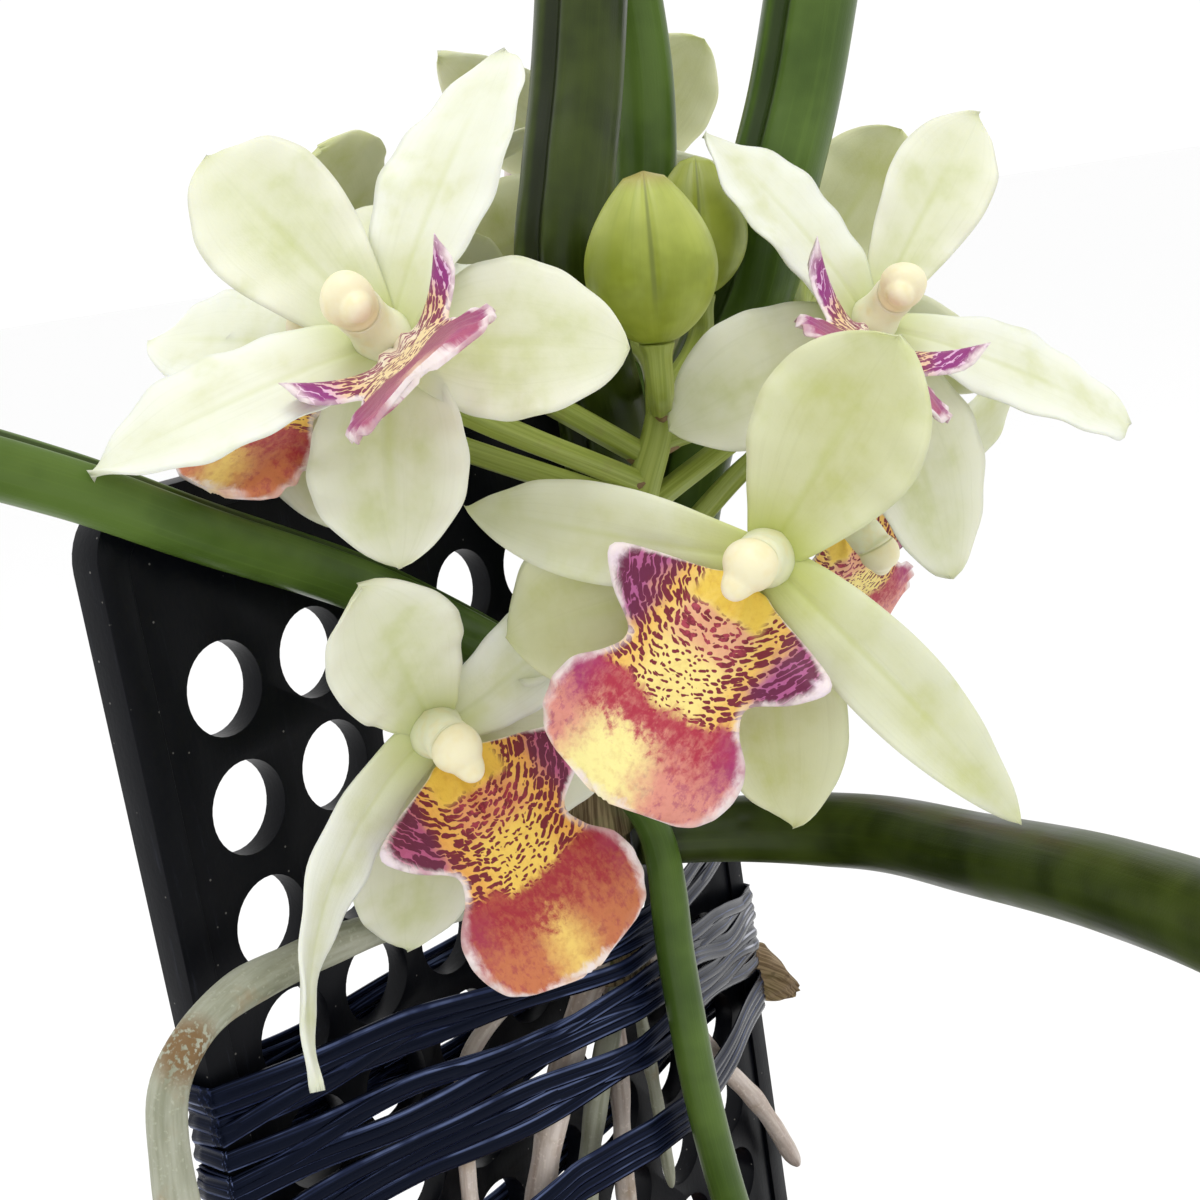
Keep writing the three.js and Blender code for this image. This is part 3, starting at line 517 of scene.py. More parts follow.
PLATE_SIZES = dict(
    Width=PANEL_WIDTH * MM, Height=(PANEL_TOP - PANEL_BOTTOM) * MM, Thickness=PANEL_THICKNESS * MM,
    Corner=PANEL_CORNER * MM, Border=BORDER_WIDTH * MM, Sink=FIELD_SINK * MM, Radius=HOLE_RADIUS * MM,
    Pitch=HOLE_PITCH * MM, Columns=HOLE_COLUMNS, Rows=HOLE_ROWS, TopMargin=(PANEL_TOP - PANEL_TOP_ROW) * MM,
)
panel_tree, make, given = start_tree("perforated_plate", **PLATE_SIZES)


def inset_outline(inset):
    """The plate's outline with its rounded corners, drawn in by the inset from every edge."""
    width, height, corner = given["Width"], given["Height"], given["Corner"]
    if inset:
        width, height, corner = width - inset * 2.0, height - inset * 2.0, corner - inset * 0.6
    outline = make("GeometryNodeCurvePrimitiveQuadrilateral", Width=width, Height=height)
    return make("GeometryNodeFilletCurve", mode="POLY", Curve=outline, Radius=corner, Count=CORNER_SIDES)


def slab(curves, thickness, lift):
    """A plate between the outer curve and the curves inside it, of the given thickness."""
    joined = make("GeometryNodeJoinGeometry", curves)
    filled = make("GeometryNodeFillCurve", mode="NGONS", Curve=joined)
    raised = make(
        "GeometryNodeExtrudeMesh", mode="FACES", Mesh=filled, Individual=False, Offset_Scale=thickness
    )
    under = make("GeometryNodeFlipFaces", Mesh=filled)
    whole = make("GeometryNodeJoinGeometry", [raised, under])
    merged = make("GeometryNodeMergeByDistance", Geometry=whole, Distance=1e-6)
    offset = make("ShaderNodeCombineXYZ", Z=lift)
    return make("GeometryNodeTransform", Geometry=merged, Translation=offset)


grid_width = given["Pitch"] * (given["Columns"] - 1.0)
grid_height = given["Pitch"] * (given["Rows"] - 1.0)
grid = make("GeometryNodeMeshGrid", grid_width, grid_height, given["Columns"], given["Rows"])
grid_rise = given["Height"] * 0.5 - given["TopMargin"] - grid_height * 0.5
grid_place = make("ShaderNodeCombineXYZ", Y=grid_rise)
moved_grid = make("GeometryNodeTransform", Geometry=grid, Translation=grid_place)
hole = make("GeometryNodeCurvePrimitiveCircle", Resolution=HOLE_SIDES, Radius=given["Radius"])
holes = make("GeometryNodeInstanceOnPoints", Points=moved_grid, Instance=hole)
hole_curves = make("GeometryNodeRealizeInstances", Geometry=holes)
border = slab([inset_outline(None), inset_outline(given["Border"])], given["Thickness"], 0.0)
field_edge = inset_outline(given["Border"] * 0.92)
field = slab([field_edge, hole_curves], given["Thickness"] - given["Sink"] * 2.0, given["Sink"])
plate = make("GeometryNodeJoinGeometry", [border, field])
upright = make(
    "GeometryNodeTransform", Geometry=plate, Rotation=(math.pi / 2, 0, 0),
    Translation=(0, (PANEL_FRONT + PANEL_THICKNESS) * MM, (PANEL_TOP + PANEL_BOTTOM) / 2 * MM),
)
end_tree(panel_tree, make, given, upright)

blank = bpy.data.objects.new("blank_plate", bpy.data.meshes.new("blank_plate"))
bpy.context.collection.objects.link(blank)
panel = grow(blank, panel_tree, panel_black, **PLATE_SIZES)
rounding = panel.modifiers.new("edge_rounding", "BEVEL")
rounding.width = EDGE_ROUNDING * MM
rounding.segments = 3
rounding.limit_method = "ANGLE"
rounding.angle_limit = math.radians(EDGE_ANGLE)
panel = settled(panel)
panel.name = "perforated_panel"
panel.data.polygons.foreach_set("use_smooth", [True] * len(panel.data.polygons))
panel.data.set_sharp_from_angle(angle=math.radians(35))
fix(panel, "panel_plastic", "panel")


# Stem
# The orchid's short woody stem, upright against the panel's front. It is clothed in the dry brown
# sheaths of old leaves, one over the next, each ending in a ragged edge.

STEM_PATH = [(10, 6, 188), (11.5, 6, 205), (14, 6, 222), (15.5, 5.8, 239)]
STEM_RADIUS = 5.6
STEM_TAPER = 1.4
SHEATH_STEP = 0.9
SHEATH_COUNT = 5
CURVE_STEPS = 24


def smooth_path(corners, count):
    """count + 1 points at even spacing on the centripetal curve through the corners, and its length."""
    points = [np.array(corner, float) for corner in corners]
    points = [2 * points[0] - points[1], *points, 2 * points[-1] - points[-2]]
    dense = []
    for i in range(1, len(points) - 2):
        p0, p1, p2, p3 = points[i - 1:i + 3]
        gaps = [max(1e-4, np.linalg.norm(b - a)) ** 0.5 for a, b in ((p0, p1), (p1, p2), (p2, p3))]
        leave = ((p1 - p0) / gaps[0] - (p2 - p0) / (gaps[0] + gaps[1]) + (p2 - p1) / gaps[1]) * gaps[1]
        arrive = ((p2 - p1) / gaps[1] - (p3 - p1) / (gaps[1] + gaps[2]) + (p3 - p2) / gaps[2]) * gaps[1]
        for k in range(CURVE_STEPS):
            t = k / CURVE_STEPS
            dense.append(
                (2 * t**3 - 3 * t**2 + 1) * p1 + (t**3 - 2 * t**2 + t) * leave
                + (3 * t**2 - 2 * t**3) * p2 + (t**3 - t**2) * arrive
            )
    dense = np.array([*dense, points[-2]])
    length = np.concatenate([[0], np.cumsum(np.linalg.norm(np.diff(dense, axis=0), axis=1))])
    wanted = np.linspace(0, length[-1], count + 1)
    return np.stack([np.interp(wanted, length, dense[:, k]) for k in range(3)], 1), length[-1]


def sweep(corners, radius_at, section=None, *, sides, steps, turn=0.0):
    """Rings round a smooth path. radius_at takes the share of the length; section(angle, share)
    scales the radius round the ring; turn rolls the section about the path, in degrees."""
    path, length = smooth_path(corners, steps)
    tangents = np.gradient(path, axis=0)
    tangents /= np.linalg.norm(tangents, axis=1)[:, None]
    axis = np.zeros(3)
    axis[2 - int(np.argmin(np.abs(tangents[0])[::-1]))] = 1
    normal = np.cross(tangents[0], np.cross(tangents[0], axis))
    angles = np.linspace(0, 2 * math.pi, sides, endpoint=False)
    rolled = angles + math.radians(turn)
    rings, grain = [], []
    for i, (centre, tangent) in enumerate(zip(path, tangents)):
        normal = normal - tangent * normal.dot(tangent)
        normal /= np.linalg.norm(normal)
        spokes = np.cos(rolled)[:, None] * normal + np.sin(rolled)[:, None] * np.cross(tangent, normal)
        share = i / steps
        scale = np.array([section(angle, share) if section else 1.0 for angle in angles])
        rings.append(centre + (radius_at(share) * scale)[:, None] * spokes)
        grain.append(np.stack([np.cos(angles), np.sin(angles), np.full(sides, share * length)], 1))
    return loft(rings, grain)


stem_brown = Finish("stem_brown", roughness=0.75, specular=0.3)
stem_fibres = stem_brown.grain((9, 9, 0.12)).noise(1.0, 4)
stem_green = stem_brown.place().noise(0.2, 3).step(0.45, 0.7, 0, 0.7)
stem_tone = mix(stem_fibres.step(0.35, 0.65), (0.10, 0.065, 0.03), (0.34, 0.26, 0.14))
stem_brown.colour(mix(stem_green, stem_tone, (0.16, 0.19, 0.06)))
stem_brown.relief(stem_fibres, 0.3, 0.7)


def sheath_radius(share):
    return STEM_RADIUS - STEM_TAPER * share - SHEATH_STEP * (share * SHEATH_COUNT % 1)


def sheath_section(angle, share):
    ragged = 0.03 * math.sin(5 * angle + 40 * share) + 0.02 * math.sin(11 * angle)
    return 1 + ragged - 0.05 * max(0, math.cos(angle + 6 * math.floor(share * SHEATH_COUNT))) ** 6


skin = sweep(STEM_PATH, sheath_radius, sheath_section, sides=40, steps=90)
stem = assemble("stem", [(*skin, 0)], [stem_brown])
fix(stem, "stem", "stem")


# Leaves
# Round fleshy leaves, pencil thick, with one sharp channel along the upper side. They are firm,
# glossy dark green, and grow from the stem; the younger ones are lighter.

LEAVES = {
    "leaf_front_upright": dict(
        path=[(15.5, 4.5, 240), (17.5, 1, 252), (16, -2, 264), (10, -5, 275), (6.7, -6, 285),
              (10, -6.3, 295), (15.2, -6, 306), (22, -6, 326), (26, -8, 352)],
        radius=5.8, young=False, turn=2,
    ),
    "leaf_back_upright": dict(
        path=[(18.5, 8, 230), (27.5, 7.2, 247), (32.5, 5, 268), (33, -1.5, 290), (34.7, -3, 305.6),
              (36, -2, 322), (33, -2, 342)],
        radius=4.2, young=True, turn=180,
    ),
    "leaf_right_upright": dict(
        path=[(16, 4, 218), (29, 2.5, 222), (39.5, 6, 241), (43.5, -1, 264), (43, -12, 280),
              (41, -17, 290.4), (46, -19.5, 302.6), (50, -25, 325), (53, -33, 350)],
        radius=6.2, young=True, turn=262,
    ),
    "leaf_left": dict(
        path=[(11, 3, 228), (-7, 3.4, 240.6), (-24.9, 5.6, 253.3), (-45.3, 7.5, 264.6), (-60, 8.3, 272.8),
              (-79, 7, 280.9), (-103, 3, 287)],
        radius=3.3, young=True, turn=60,
    ),
    "leaf_right": dict(
        path=[(15, 1, 207), (27, -8, 204), (30, -26, 204), (20, -46, 207), (0, -71, 214),
              (-15, -90, 217), (-29, -112, 214)],
        radius=5.2, young=False, turn=100,
    ),
    "leaf_hanging": dict(
        path=[(10.5, 0, 217), (10.8, -4.4, 209), (8.4, -6.4, 192), (9, -7, 170), (12, -8, 148),
              (17, -10, 128)],
        radius=2.6, young=True, turn=120,
    ),
}
LEAF_CHANNEL = 0.24


def tinted(colour, strength):
    return tuple(strength * part for part in colour)


def leaf_finish(name, shade, light):
    finish = Finish(name, roughness=0.42, subsurface=0.05, specular=0.24)
    stripes = finish.grain((7, 7, 0.03)).noise(1.0, 3)
    blotches = finish.place().noise(0.07, 3)
    # Painted shade: the channel along the upper side is darkened in the colour.
    channel_painted_shade = finish.grain((1, 1, 0.02)).axis(0).step(0.955, 0.985, 0, 0.8)
    tone = mix(blotches.step(0.35, 0.65), shade, light)
    tone = mix(stripes.step(0.5, 0.75, 0, 0.25), tone, tinted(light, 1.35))
    finish.colour(mix(channel_painted_shade, tone, tinted(shade, 0.35)))
    finish.gloss(blotches.step(0.3, 0.7, 0.28, 0.42))
    finish.relief(stripes, 0.12, 0.35)
    finish.relief(finish.place().noise(3.2, 2), 0.05, 0.3)
    return finish


leaf_green = leaf_finish("leaf_green", (0.017, 0.028, 0.002), (0.044, 0.066, 0.007))
leaf_young_green = leaf_finish("leaf_young_green", (0.052, 0.098, 0.013), (0.096, 0.164, 0.027))


def leaf_section(angle, share):
    """Round, with the channel at angle 0 that fades towards the tip."""
    off = min(angle, 2 * math.pi - angle)
    depth = LEAF_CHANNEL * min(1, (1 - share) * 6 + 0.1)
    return 1 - depth * math.exp(-(off / 0.20) ** 2) + 0.02 * math.cos(2 * off)


def blunt_tip(share, length):
    """1 as far as the rounded tip, a share of the length, then in to almost nothing."""
    return math.sqrt(max(0.002, 1 - max(0, (share - (1 - length)) / length) ** 2))


for name, leaf in LEAVES.items():
    def leaf_radius(share, radius=leaf["radius"]):
        return radius * (0.8 + 0.2 * min(1, share * 5)) * blunt_tip(share, 0.2)

    skin = sweep(leaf["path"], leaf_radius, leaf_section, sides=64, steps=110, turn=leaf["turn"])
    piece = assemble(name, [(*skin, 0)], [leaf_young_green if leaf["young"] else leaf_green])
    fix(piece, "young_leaf" if leaf["young"] else "leaf", name)


# Roots
# Aerial roots in a spongy silver-grey or pinkish coat. They run from the stem's foot over the panel,
# held by the strips; the thick left one turns down past the panel's edge and is scarred at the bend.

ROOTS = {
    "root_left": dict(
        path=[(8, 5, 206), (-16, 6, 210.2), (-31, 6, 213.6), (-45, 6, 215.6), (-55.3, 5, 216.6),
              (-62.4, 4, 215.6), (-66.5, 4, 212), (-68.5, 3.6, 205), (-69, 3, 190), (-66, 2, 174)],
        radius=2.1, pink=False,
    ),
    "root_pale": dict(
        path=[(7, 5, 192), (3, 6, 187.5), (-7, 6, 176), (-13, 7.5, 160), (-15, 8.5, 140), (-13, 9, 120)],
        radius=2.1, pink=True,
    ),
    "root_grey": dict(
        path=[(12, 4, 191), (10.5, 5.4, 186), (1.5, 6, 171.5), (-3, 7, 158), (-4, 8.6, 138), (-1, 9, 116)],
        radius=1.6, pink=False,
    ),
    "root_left_thin": dict(
        path=[(7, 7, 197), (-6, 8.6, 193), (-18, 9.8, 188), (-21, 10, 176), (-23, 10, 160), (-26, 10, 146)],
        radius=1.1, pink=True,
    ),
    "root_middle": dict(
        path=[(12, 8, 191), (12.5, 8.8, 180), (11, 9.2, 166), (9, 9.4, 150), (10, 9.4, 132)],
        radius=1.4, pink=True,
    ),
    "root_thin": dict(
        path=[(14, 7, 191), (18, 8.8, 180), (20, 9.6, 164), (21, 10, 146)], radius=1, pink=False,
    ),
    "root_right": dict(
        path=[(14, 5, 193), (23, 6.8, 181), (32, 8, 165), (46, 8.4, 146), (55, 8.6, 130)],
        radius=1.5, pink=True,
    ),
}
ROOT_SCAR = (-64.5, 2.5, 215.5)


def root_finish(name, dark, pale):
    finish = Finish(name, roughness=0.62, subsurface=0.1, specular=0.3)
    place = finish.place()
    streaks = finish.grain((1.6, 1.6, 0.10)).noise(1.0, 4)
    specks = place.noise(1.7, 3)
    tone = mix(streaks.step(0.3, 0.75), pale, dark)
    tone = mix(place.noise(0.16, 4).step(0.58, 0.74, 0, 0.6), tone, (0.34, 0.24, 0.13))
    tone = mix(specks.step(0.56, 0.72, 0, 0.45), tone, tinted(pale, 1.3))
    scar = place.near(ROOT_SCAR, 5) * specks.step(0.36, 0.5)
    finish.colour(mix(scar, tone, (0.20, 0.12, 0.05)))
    finish.relief(streaks, 0.12, 0.4)
    finish.relief(specks, 0.12, 0.5)
    return finish


root_silver = root_finish("root_silver", (0.24, 0.25, 0.17), (0.42, 0.43, 0.34))
root_pink = root_finish("root_pink", (0.44, 0.34, 0.28), (0.72, 0.64, 0.58))

for name, root in ROOTS.items():
    phase = len(name) * 1.7

    def root_radius(share, radius=root["radius"]):
        swelling = 0.06 * math.sin(23 * share + phase) + 0.04 * math.sin(51 * share + 2 * phase)
        return radius * (1 + swelling) * blunt_tip(share, 0.1)

    def root_section(angle, share):
        return 1 + 0.035 * math.sin(3 * angle + 9 * share + phase) + 0.02 * math.sin(7 * angle + 31 * share)

    skin = sweep(root["path"], root_radius, root_section, sides=28, steps=130)
    piece = assemble(name, [(*skin, 0)], [root_pink if root["pink"] else root_silver])
    fix(piece, "root_pink" if root["pink"] else "root_silver", name)


# Strips
# Flat black plastic strips that tie stem and roots to the panel, each wound right round it. Every
# strip is a bundle of split, creased ribbons. Their dark blue sheen is painted into the colour as
# highlight streaks, and a painted highlight sits where they bend over the panel's right edge.

STRAPS = {
    "strap_top": dict(left=201, middle=195.5, right=192.5, swell=0),
    "strap_upper": dict(left=193, middle=187.5, right=178, swell=0.9),
    "strap_lower": dict(left=184, middle=180, right=170.5, swell=0),
    "strap_bottom": dict(left=158, middle=166, right=162, swell=0),
}
STRAP_WIDTH = 5
STRAP_CLEARANCE = 0.5
STRAP_PRESS = 0.3
RIBBONS = 4
RIBBON_THICKNESS = 0.24
RIBBON_OVERLAP = 1.9
CREASE_DEPTH = 0.2
ROUTE_STEP = 1.6
# Where the painted highlight on the strip sits, at its bend over the panel's right edge.
STRAP_HIGHLIGHT_SPOT = (51.5, 9.5, 175)

strap_black = Finish("strap_black", roughness=0.3, specular=0.4)
strap_black.shader["IOR"].default_value = 1.25
strap_black.shader["Specular Tint"].default_value = (0.45, 0.58, 1, 1)
strap_place = strap_black.place()
strap_grain = strap_black.grain((3.2, 0.14, 1), "lay").noise(1.0, 3, 0.5)
# Painted highlight: light blue streaks of sheen on the ribbons, put into the colour.
strap_painted_sheen = strap_grain.step(0.54, 0.66) * strap_place.noise(0.12, 3).step(0.38, 0.6)
# Painted highlight: a pale spot broken up by the grain, near the strip's bend over the panel's right edge.
strap_painted_highlight = strap_place.near(STRAP_HIGHLIGHT_SPOT, 6) * strap_grain.step(0.46, 0.56)
strap_tone = mix(strap_grain.step(0.48, 0.66), (0.0025, 0.0035, 0.009), (0.018, 0.026, 0.070))
strap_tone = mix(strap_painted_sheen, strap_tone, (0.13, 0.17, 0.32))
strap_black.colour(mix(strap_painted_highlight, strap_tone, (0.50, 0.51, 0.57)))
strap_black.gloss(strap_grain.step(0.3, 0.7, 0.18, 0.34))
strap_black.relief(strap_grain, 0.3, 0.6)

RIBBON_SIZES = dict(
    Width=STRAP_WIDTH / RIBBONS * RIBBON_OVERLAP * MM, Thickness=RIBBON_THICKNESS * MM,
    Crease=CREASE_DEPTH * MM, Folds=6.0,
)
strap_tree, make, given = start_tree("split_ribbon", **RIBBON_SIZES)
upright_curve = make("GeometryNodeSetCurveNormal", mode="Z_UP", Curve=given["Geometry"])
way = make("GeometryNodeSplineParameter", out="Length")
along_stored = make(
    "GeometryNodeStoreNamedAttribute", data_type="FLOAT", domain="POINT", Geometry=upright_curve,
    Name="along", Value=way,
)
ribbon = make("GeometryNodeCurvePrimitiveQuadrilateral", Width=given["Thickness"], Height=given["Width"])
ribbon_fine = make("GeometryNodeSubdivideCurve", Curve=ribbon, Cuts=5)
across_share = make("GeometryNodeInputPosition").axis(1) / given["Width"]
across_stored = make(
    "GeometryNodeStoreNamedAttribute", data_type="FLOAT", domain="POINT", Geometry=ribbon_fine,
    Name="across", Value=across_share,
)
fold = (across_share * given["Folds"]).sum("SINE") * given["Crease"]
fold_offset = make("ShaderNodeCombineXYZ", X=fold)
creased = make("GeometryNodeSetPosition", Geometry=across_stored, Offset=fold_offset)
swept_ribbon = make("GeometryNodeCurveToMesh", Curve=along_stored, Profile_Curve=creased)
end_tree(strap_tree, make, given, make("GeometryNodeSetShadeSmooth", Geometry=swept_ribbon))


def strap_route(strap):
    """Corners of the band's middle line, as it bears on panel, roots and stem."""
    left, middle, right = strap["left"], strap["middle"], strap["right"]
    edge = PANEL_WIDTH / 2 + STRAP_CLEARANCE
    front, back = PANEL_FRONT - STRAP_CLEARANCE, PANEL_FRONT + PANEL_THICKNESS + STRAP_CLEARANCE
    swell, low = -strap["swell"], -STRAP_PRESS
    return [
        (-edge, front, left),
        (-30, 7.6 + swell + low, (left + middle) / 2 + 0.6),
        (-9, 2.6 + swell + low, middle + 0.8),
        (4, -0.6 + swell + low, middle),
        (12, -1.2 + swell + low, middle),
        (20, 0.6 + swell + low, middle),
        (36, 5.4 + swell + low, (right + middle) / 2),
        (edge, front, right),
        (edge, back, right),
        (20, back + 0.4, (2 * right + left) / 3),
        (-20, back + 0.4, (right + 2 * left) / 3),
        (-edge, back, left),
    ]


def laid_points(route, rise, out, phase):
    """Even points along the closed route, offset across the band and outwards, with a slow waver."""
    closed = np.array([*route, route[0]], float)
    length = np.concatenate([[0], np.cumsum(np.linalg.norm(np.diff(closed, axis=0), axis=1))])
    wanted = np.arange(0, length[-1], ROUTE_STEP)
    line = np.stack([np.interp(wanted, length, closed[:, k]) for k in range(3)], 1)
    tangent = np.roll(line, -1, axis=0) - np.roll(line, 1, axis=0)
    outward = np.stack([tangent[:, 1], -tangent[:, 0]], 1)
    outward /= np.linalg.norm(outward, axis=1)[:, None]
    turns = 2 * math.pi * wanted / length[-1]
    line[:, :2] += outward * (out + 0.12 * np.sin(9 * turns + phase))[:, None]
    line[:, 2] += rise + 0.8 * np.sin(3 * turns + phase) + 0.4 * np.sin(7 * turns + 2 * phase)
    return line


strap_random = random.Random(8)
for name, strap in STRAPS.items():
    curve = bpy.data.curves.new(name + "_lines", "CURVE")
    curve.dimensions = "3D"
    for k in range(RIBBONS):
        rise = STRAP_WIDTH * ((k + 0.5) / RIBBONS - 0.5)
        out, phase = strap_random.uniform(0.05, 0.7), strap_random.uniform(0, 6.28)
        line = laid_points(strap_route(strap), rise, out, phase)
        spline = curve.splines.new("POLY")
        spline.points.add(len(line) - 1)
        spline.use_cyclic_u = True
        for point, place in zip(spline.points, line):
            point.co = (*(place * MM), 1)
    lines = bpy.data.objects.new(name + "_lines", curve)
    bpy.context.collection.objects.link(lines)
    piece = grow(lines, strap_tree, strap_black, **RIBBON_SIZES)
    piece.name = name
    stored = piece.data.attributes
    lay = np.zeros((len(piece.data.vertices), 3))
    for k, (word, unit) in enumerate((("across", 1), ("along", 10 * MM))):
        values = np.empty(len(lay))
        stored[word].data.foreach_get("value", values)
        lay[:, k] = values / unit
    stored.new("lay", "FLOAT_VECTOR", "POINT").data.foreach_set("vector", lay.ravel())
    fix(piece, "strap_plastic", name)


# Dry leaf
# A small dead scrap of leaf, tan and papery, curled and caught between the strips and the panel's
# right edge.

DRY_LEAF_FOOT = (56.4, 13.8, 166.25)
DRY_LEAF_HALF_WIDTH = 4.4
DRY_LEAF_THICKNESS = 0.45
DRY_LEAF_ROWS = 24
DRY_LEAF_COLUMNS = 16

dry_brown = Finish("dry_brown", roughness=0.8, subsurface=0.1, specular=0.2)
dry_ribs = dry_brown.grain((2.4, 0.12, 1)).noise(1.0, 4)
dry_dark = dry_brown.place().noise(0.5, 4).step(0.55, 0.7, 0, 0.6)
dry_tone = mix(dry_ribs.step(0.35, 0.65), (0.11, 0.07, 0.035), (0.34, 0.25, 0.15))
dry_brown.colour(mix(dry_dark, dry_tone, (0.09, 0.055, 0.03)))
dry_brown.relief(dry_ribs, 0.3, 0.8)


def blade(rows, thickness, edge=0.25):
    """A thin closed blade. rows hold (points, normal, grain) across it; its section thins to the edges."""
    rings, grain = [], []
    for points, normal, row_grain in rows:
        points, row_grain = np.asarray(points, float), np.asarray(row_grain, float)
        t = np.linspace(-1, 1, len(points))
        half = thickness / 2 * (edge + (1 - edge) * np.sqrt(np.maximum(0, 1 - t**4)))
        lift = half[:, None] * normal
        rings.append(np.concatenate([points + lift, (points - lift)[::-1]]))
        grain.append(np.concatenate([row_grain, row_grain[::-1]]))
    return loft(rings, grain)


dry_rows = []
for i in range(DRY_LEAF_ROWS + 1):
    s = i / DRY_LEAF_ROWS
    centre = np.array(DRY_LEAF_FOOT) + np.array([9 * s, -3 * s, -6 * s - 3 * s * s])
    half = 0.2 + DRY_LEAF_HALF_WIDTH * math.sin(math.pi * (0.03 + 0.91 * s))
    points, row_grain = [], []
    for t in np.linspace(1, -1, DRY_LEAF_COLUMNS + 1):
        curl = half * (0.9 * abs(t) - 0.5) + 0.35 * math.sin(9 * s + 3 * t) + 0.25 * math.sin(23 * s - 7 * t)
        points.append(centre + np.array([0.25 * half * t + 0.2 * math.sin(14 * s) * t, curl, half * t]))
        row_grain.append((half * t, 12 * s, 0))
    dry_rows.append((points, np.array([0.3, -0.95, 0.1]), row_grain))
dry_leaf = assemble("dry_leaf", [(*blade(dry_rows, DRY_LEAF_THICKNESS), 0)], [dry_brown])
fix(dry_leaf, "dry_leaf", "dry_leaf")


# Flower spike
# The short green rachis of the head with one fluted stalk to every flower and bud. Each stalk grows
# out of the rachis above a small brown scale.

RACHIS = [(15, 0, 234), (11.5, -6, 240), (7, -9.5, 248), (7.5, -12, 256), (10, -14, 263), (11.5, -15, 268)]
RACHIS_RADIUS = 3
RACHIS_TAPER = 1.2
RACHIS_STEPS = 200
PEDICEL_RADIUS = 1.4
SCALE_RADIUS = 2.0
NECK_LENGTH = 2.6
SEAT_GAP = 0.3

FLOWERS = {
    "flower_a": dict(
        at=(-32.3, -11.4, 281), azimuth=-67, elevation=29, roll=40, root=0.72, look="purple",
        lip=dict(pitch=38, droop=0, size=1, spread=0.8, raised=0.62, broad=1.8),
        dorsal=dict(length=30, width=15),
        petal_right=dict(turn=64, length=34, width=14, widest=0.62, round=0.6),
        petal_left=dict(turn=-82.5, length=32.5, lift=29, bend=14),
        sepal_right=dict(turn=135, length=25, width=16.5),
        sepal_left=dict(turn=-139, length=23.5, width=16.5),
    ),
    "flower_b": dict(
        at=(-31, -7, 238.5), azimuth=-32, elevation=-4, roll=20, root=0.2, via=[(-10, -7, 239)],
        look="ruddy",
        lip=dict(pitch=44, droop=38, size=1.12, spread=0.88),
        dorsal=dict(turn=-1, lift=30, bend=10, length=24, width=14.5),
        petal_right=dict(turn=88, length=25, width=10, lift=0),
        petal_left=dict(turn=-90, length=43, sway=-72, width=7, lift=13, bend=0, twist=-65, widest=0.42),
        sepal_right=dict(turn=133, length=27), sepal_left=dict(turn=-148, length=29),
    ),
    "flower_c": dict(
        at=(-16.3, -43, 254), azimuth=-72, elevation=5, roll=-38, root=0.45,
        lip=dict(pitch=48, droop=45, size=1.06, spread=0.95),
        dorsal=dict(lift=15, bend=5, length=27),
        petal_right=dict(turn=96, length=37, sway=16, width=8.5, widest=0.5),
        petal_left=dict(turn=-114, length=33, width=9.5), sepal_right=dict(turn=145, width=14, length=31),
        sepal_left=dict(turn=-140, length=31, width=19, lift=8),
    ),
    "flower_d": dict(
        at=(28, -35.5, 272.5), azimuth=-34, elevation=27, roll=-45, root=0.85, look="purple",
        lip=dict(pitch=40, droop=0, size=1.12, spread=0.82, raised=0.62, broad=1.8),
        dorsal=dict(turn=-6, sway=10, length=34, width=12.5, round=0.75),
        petal_right=dict(turn=79, length=36, widest=0.68, round=0.5),
        petal_left=dict(turn=-74, length=31, lift=18), sepal_right=dict(turn=131, length=33),
        sepal_left=dict(turn=-148, length=29),
    ),
    "flower_e": dict(
        at=(-22.9, 4.5, 279.5), azimuth=-66, elevation=31, roll=-20, root=0.65, look="ruddy",
        lip=dict(pitch=43, droop=30, size=0.92, spread=0.72),
        dorsal=dict(lift=0, length=23), petal_right=dict(turn=52, lift=0, length=24, fore=1.2),
        petal_left=dict(turn=-97, lift=5, length=26, fore=1.2),
        sepal_right=dict(turn=160, lift=12, length=21), sepal_left=dict(turn=-128, lift=5, length=17),
    ),
    "flower_f": dict(
        at=(7, 26, 288), azimuth=178, elevation=51, roll=-42, root=0.8, via=[(0, 4, 275)],
        lip=dict(pitch=45, droop=30),
    ),
    "flower_g": dict(
        at=(49, 15, 293), azimuth=140, elevation=18, roll=40, root=0.9,
        via=[(23.5, -5, 272), (25.5, 4, 277), (33, 10.5, 285)], lip=dict(pitch=45, droop=30),
    ),
    "flower_h": dict(
        at=(61, -9, 276), azimuth=120, elevation=0, roll=40, root=0.62, via=[(38, -19, 266)],
        lip=dict(pitch=50, droop=30),
    ),
    "flower_i": dict(
        at=(45, -19, 246.5), azimuth=-9, elevation=-49, roll=30, root=0.35,
        lip=dict(pitch=50, droop=30), sepal_right=dict(length=22), sepal_left=dict(length=22),
    ),
}
BUDS = {
    "bud_front": dict(foot=(2.5, -21, 275.5), tip=(1.5, -23, 294.5), radius=7.4, root=0.95),
    "bud_back": dict(foot=(26, -13, 279), tip=(26, -15, 296), radius=6.2, root=0.98),
}


def in_place(points, flower):
    """Moves points from the flower's own frame: x to its right, y up its upper sepal, z out of its face."""
    a, e = math.radians(flower["azimuth"]), math.radians(flower["elevation"])
    face = Vector((math.sin(a) * math.cos(e), -math.cos(a) * math.cos(e), math.sin(e)))
    up = Vector((-math.sin(a) * math.sin(e), math.cos(a) * math.sin(e), math.cos(e)))
    up = Matrix.Rotation(math.radians(flower["roll"]), 3, face) @ up
    return np.asarray(points, float) @ np.array([up.cross(face), up, face]) + np.array(flower["at"], float)


rachis_line, _ = smooth_path(RACHIS, RACHIS_STEPS)


def stalk_foot(owner):
    return rachis_line[round(RACHIS_STEPS * owner["root"])]


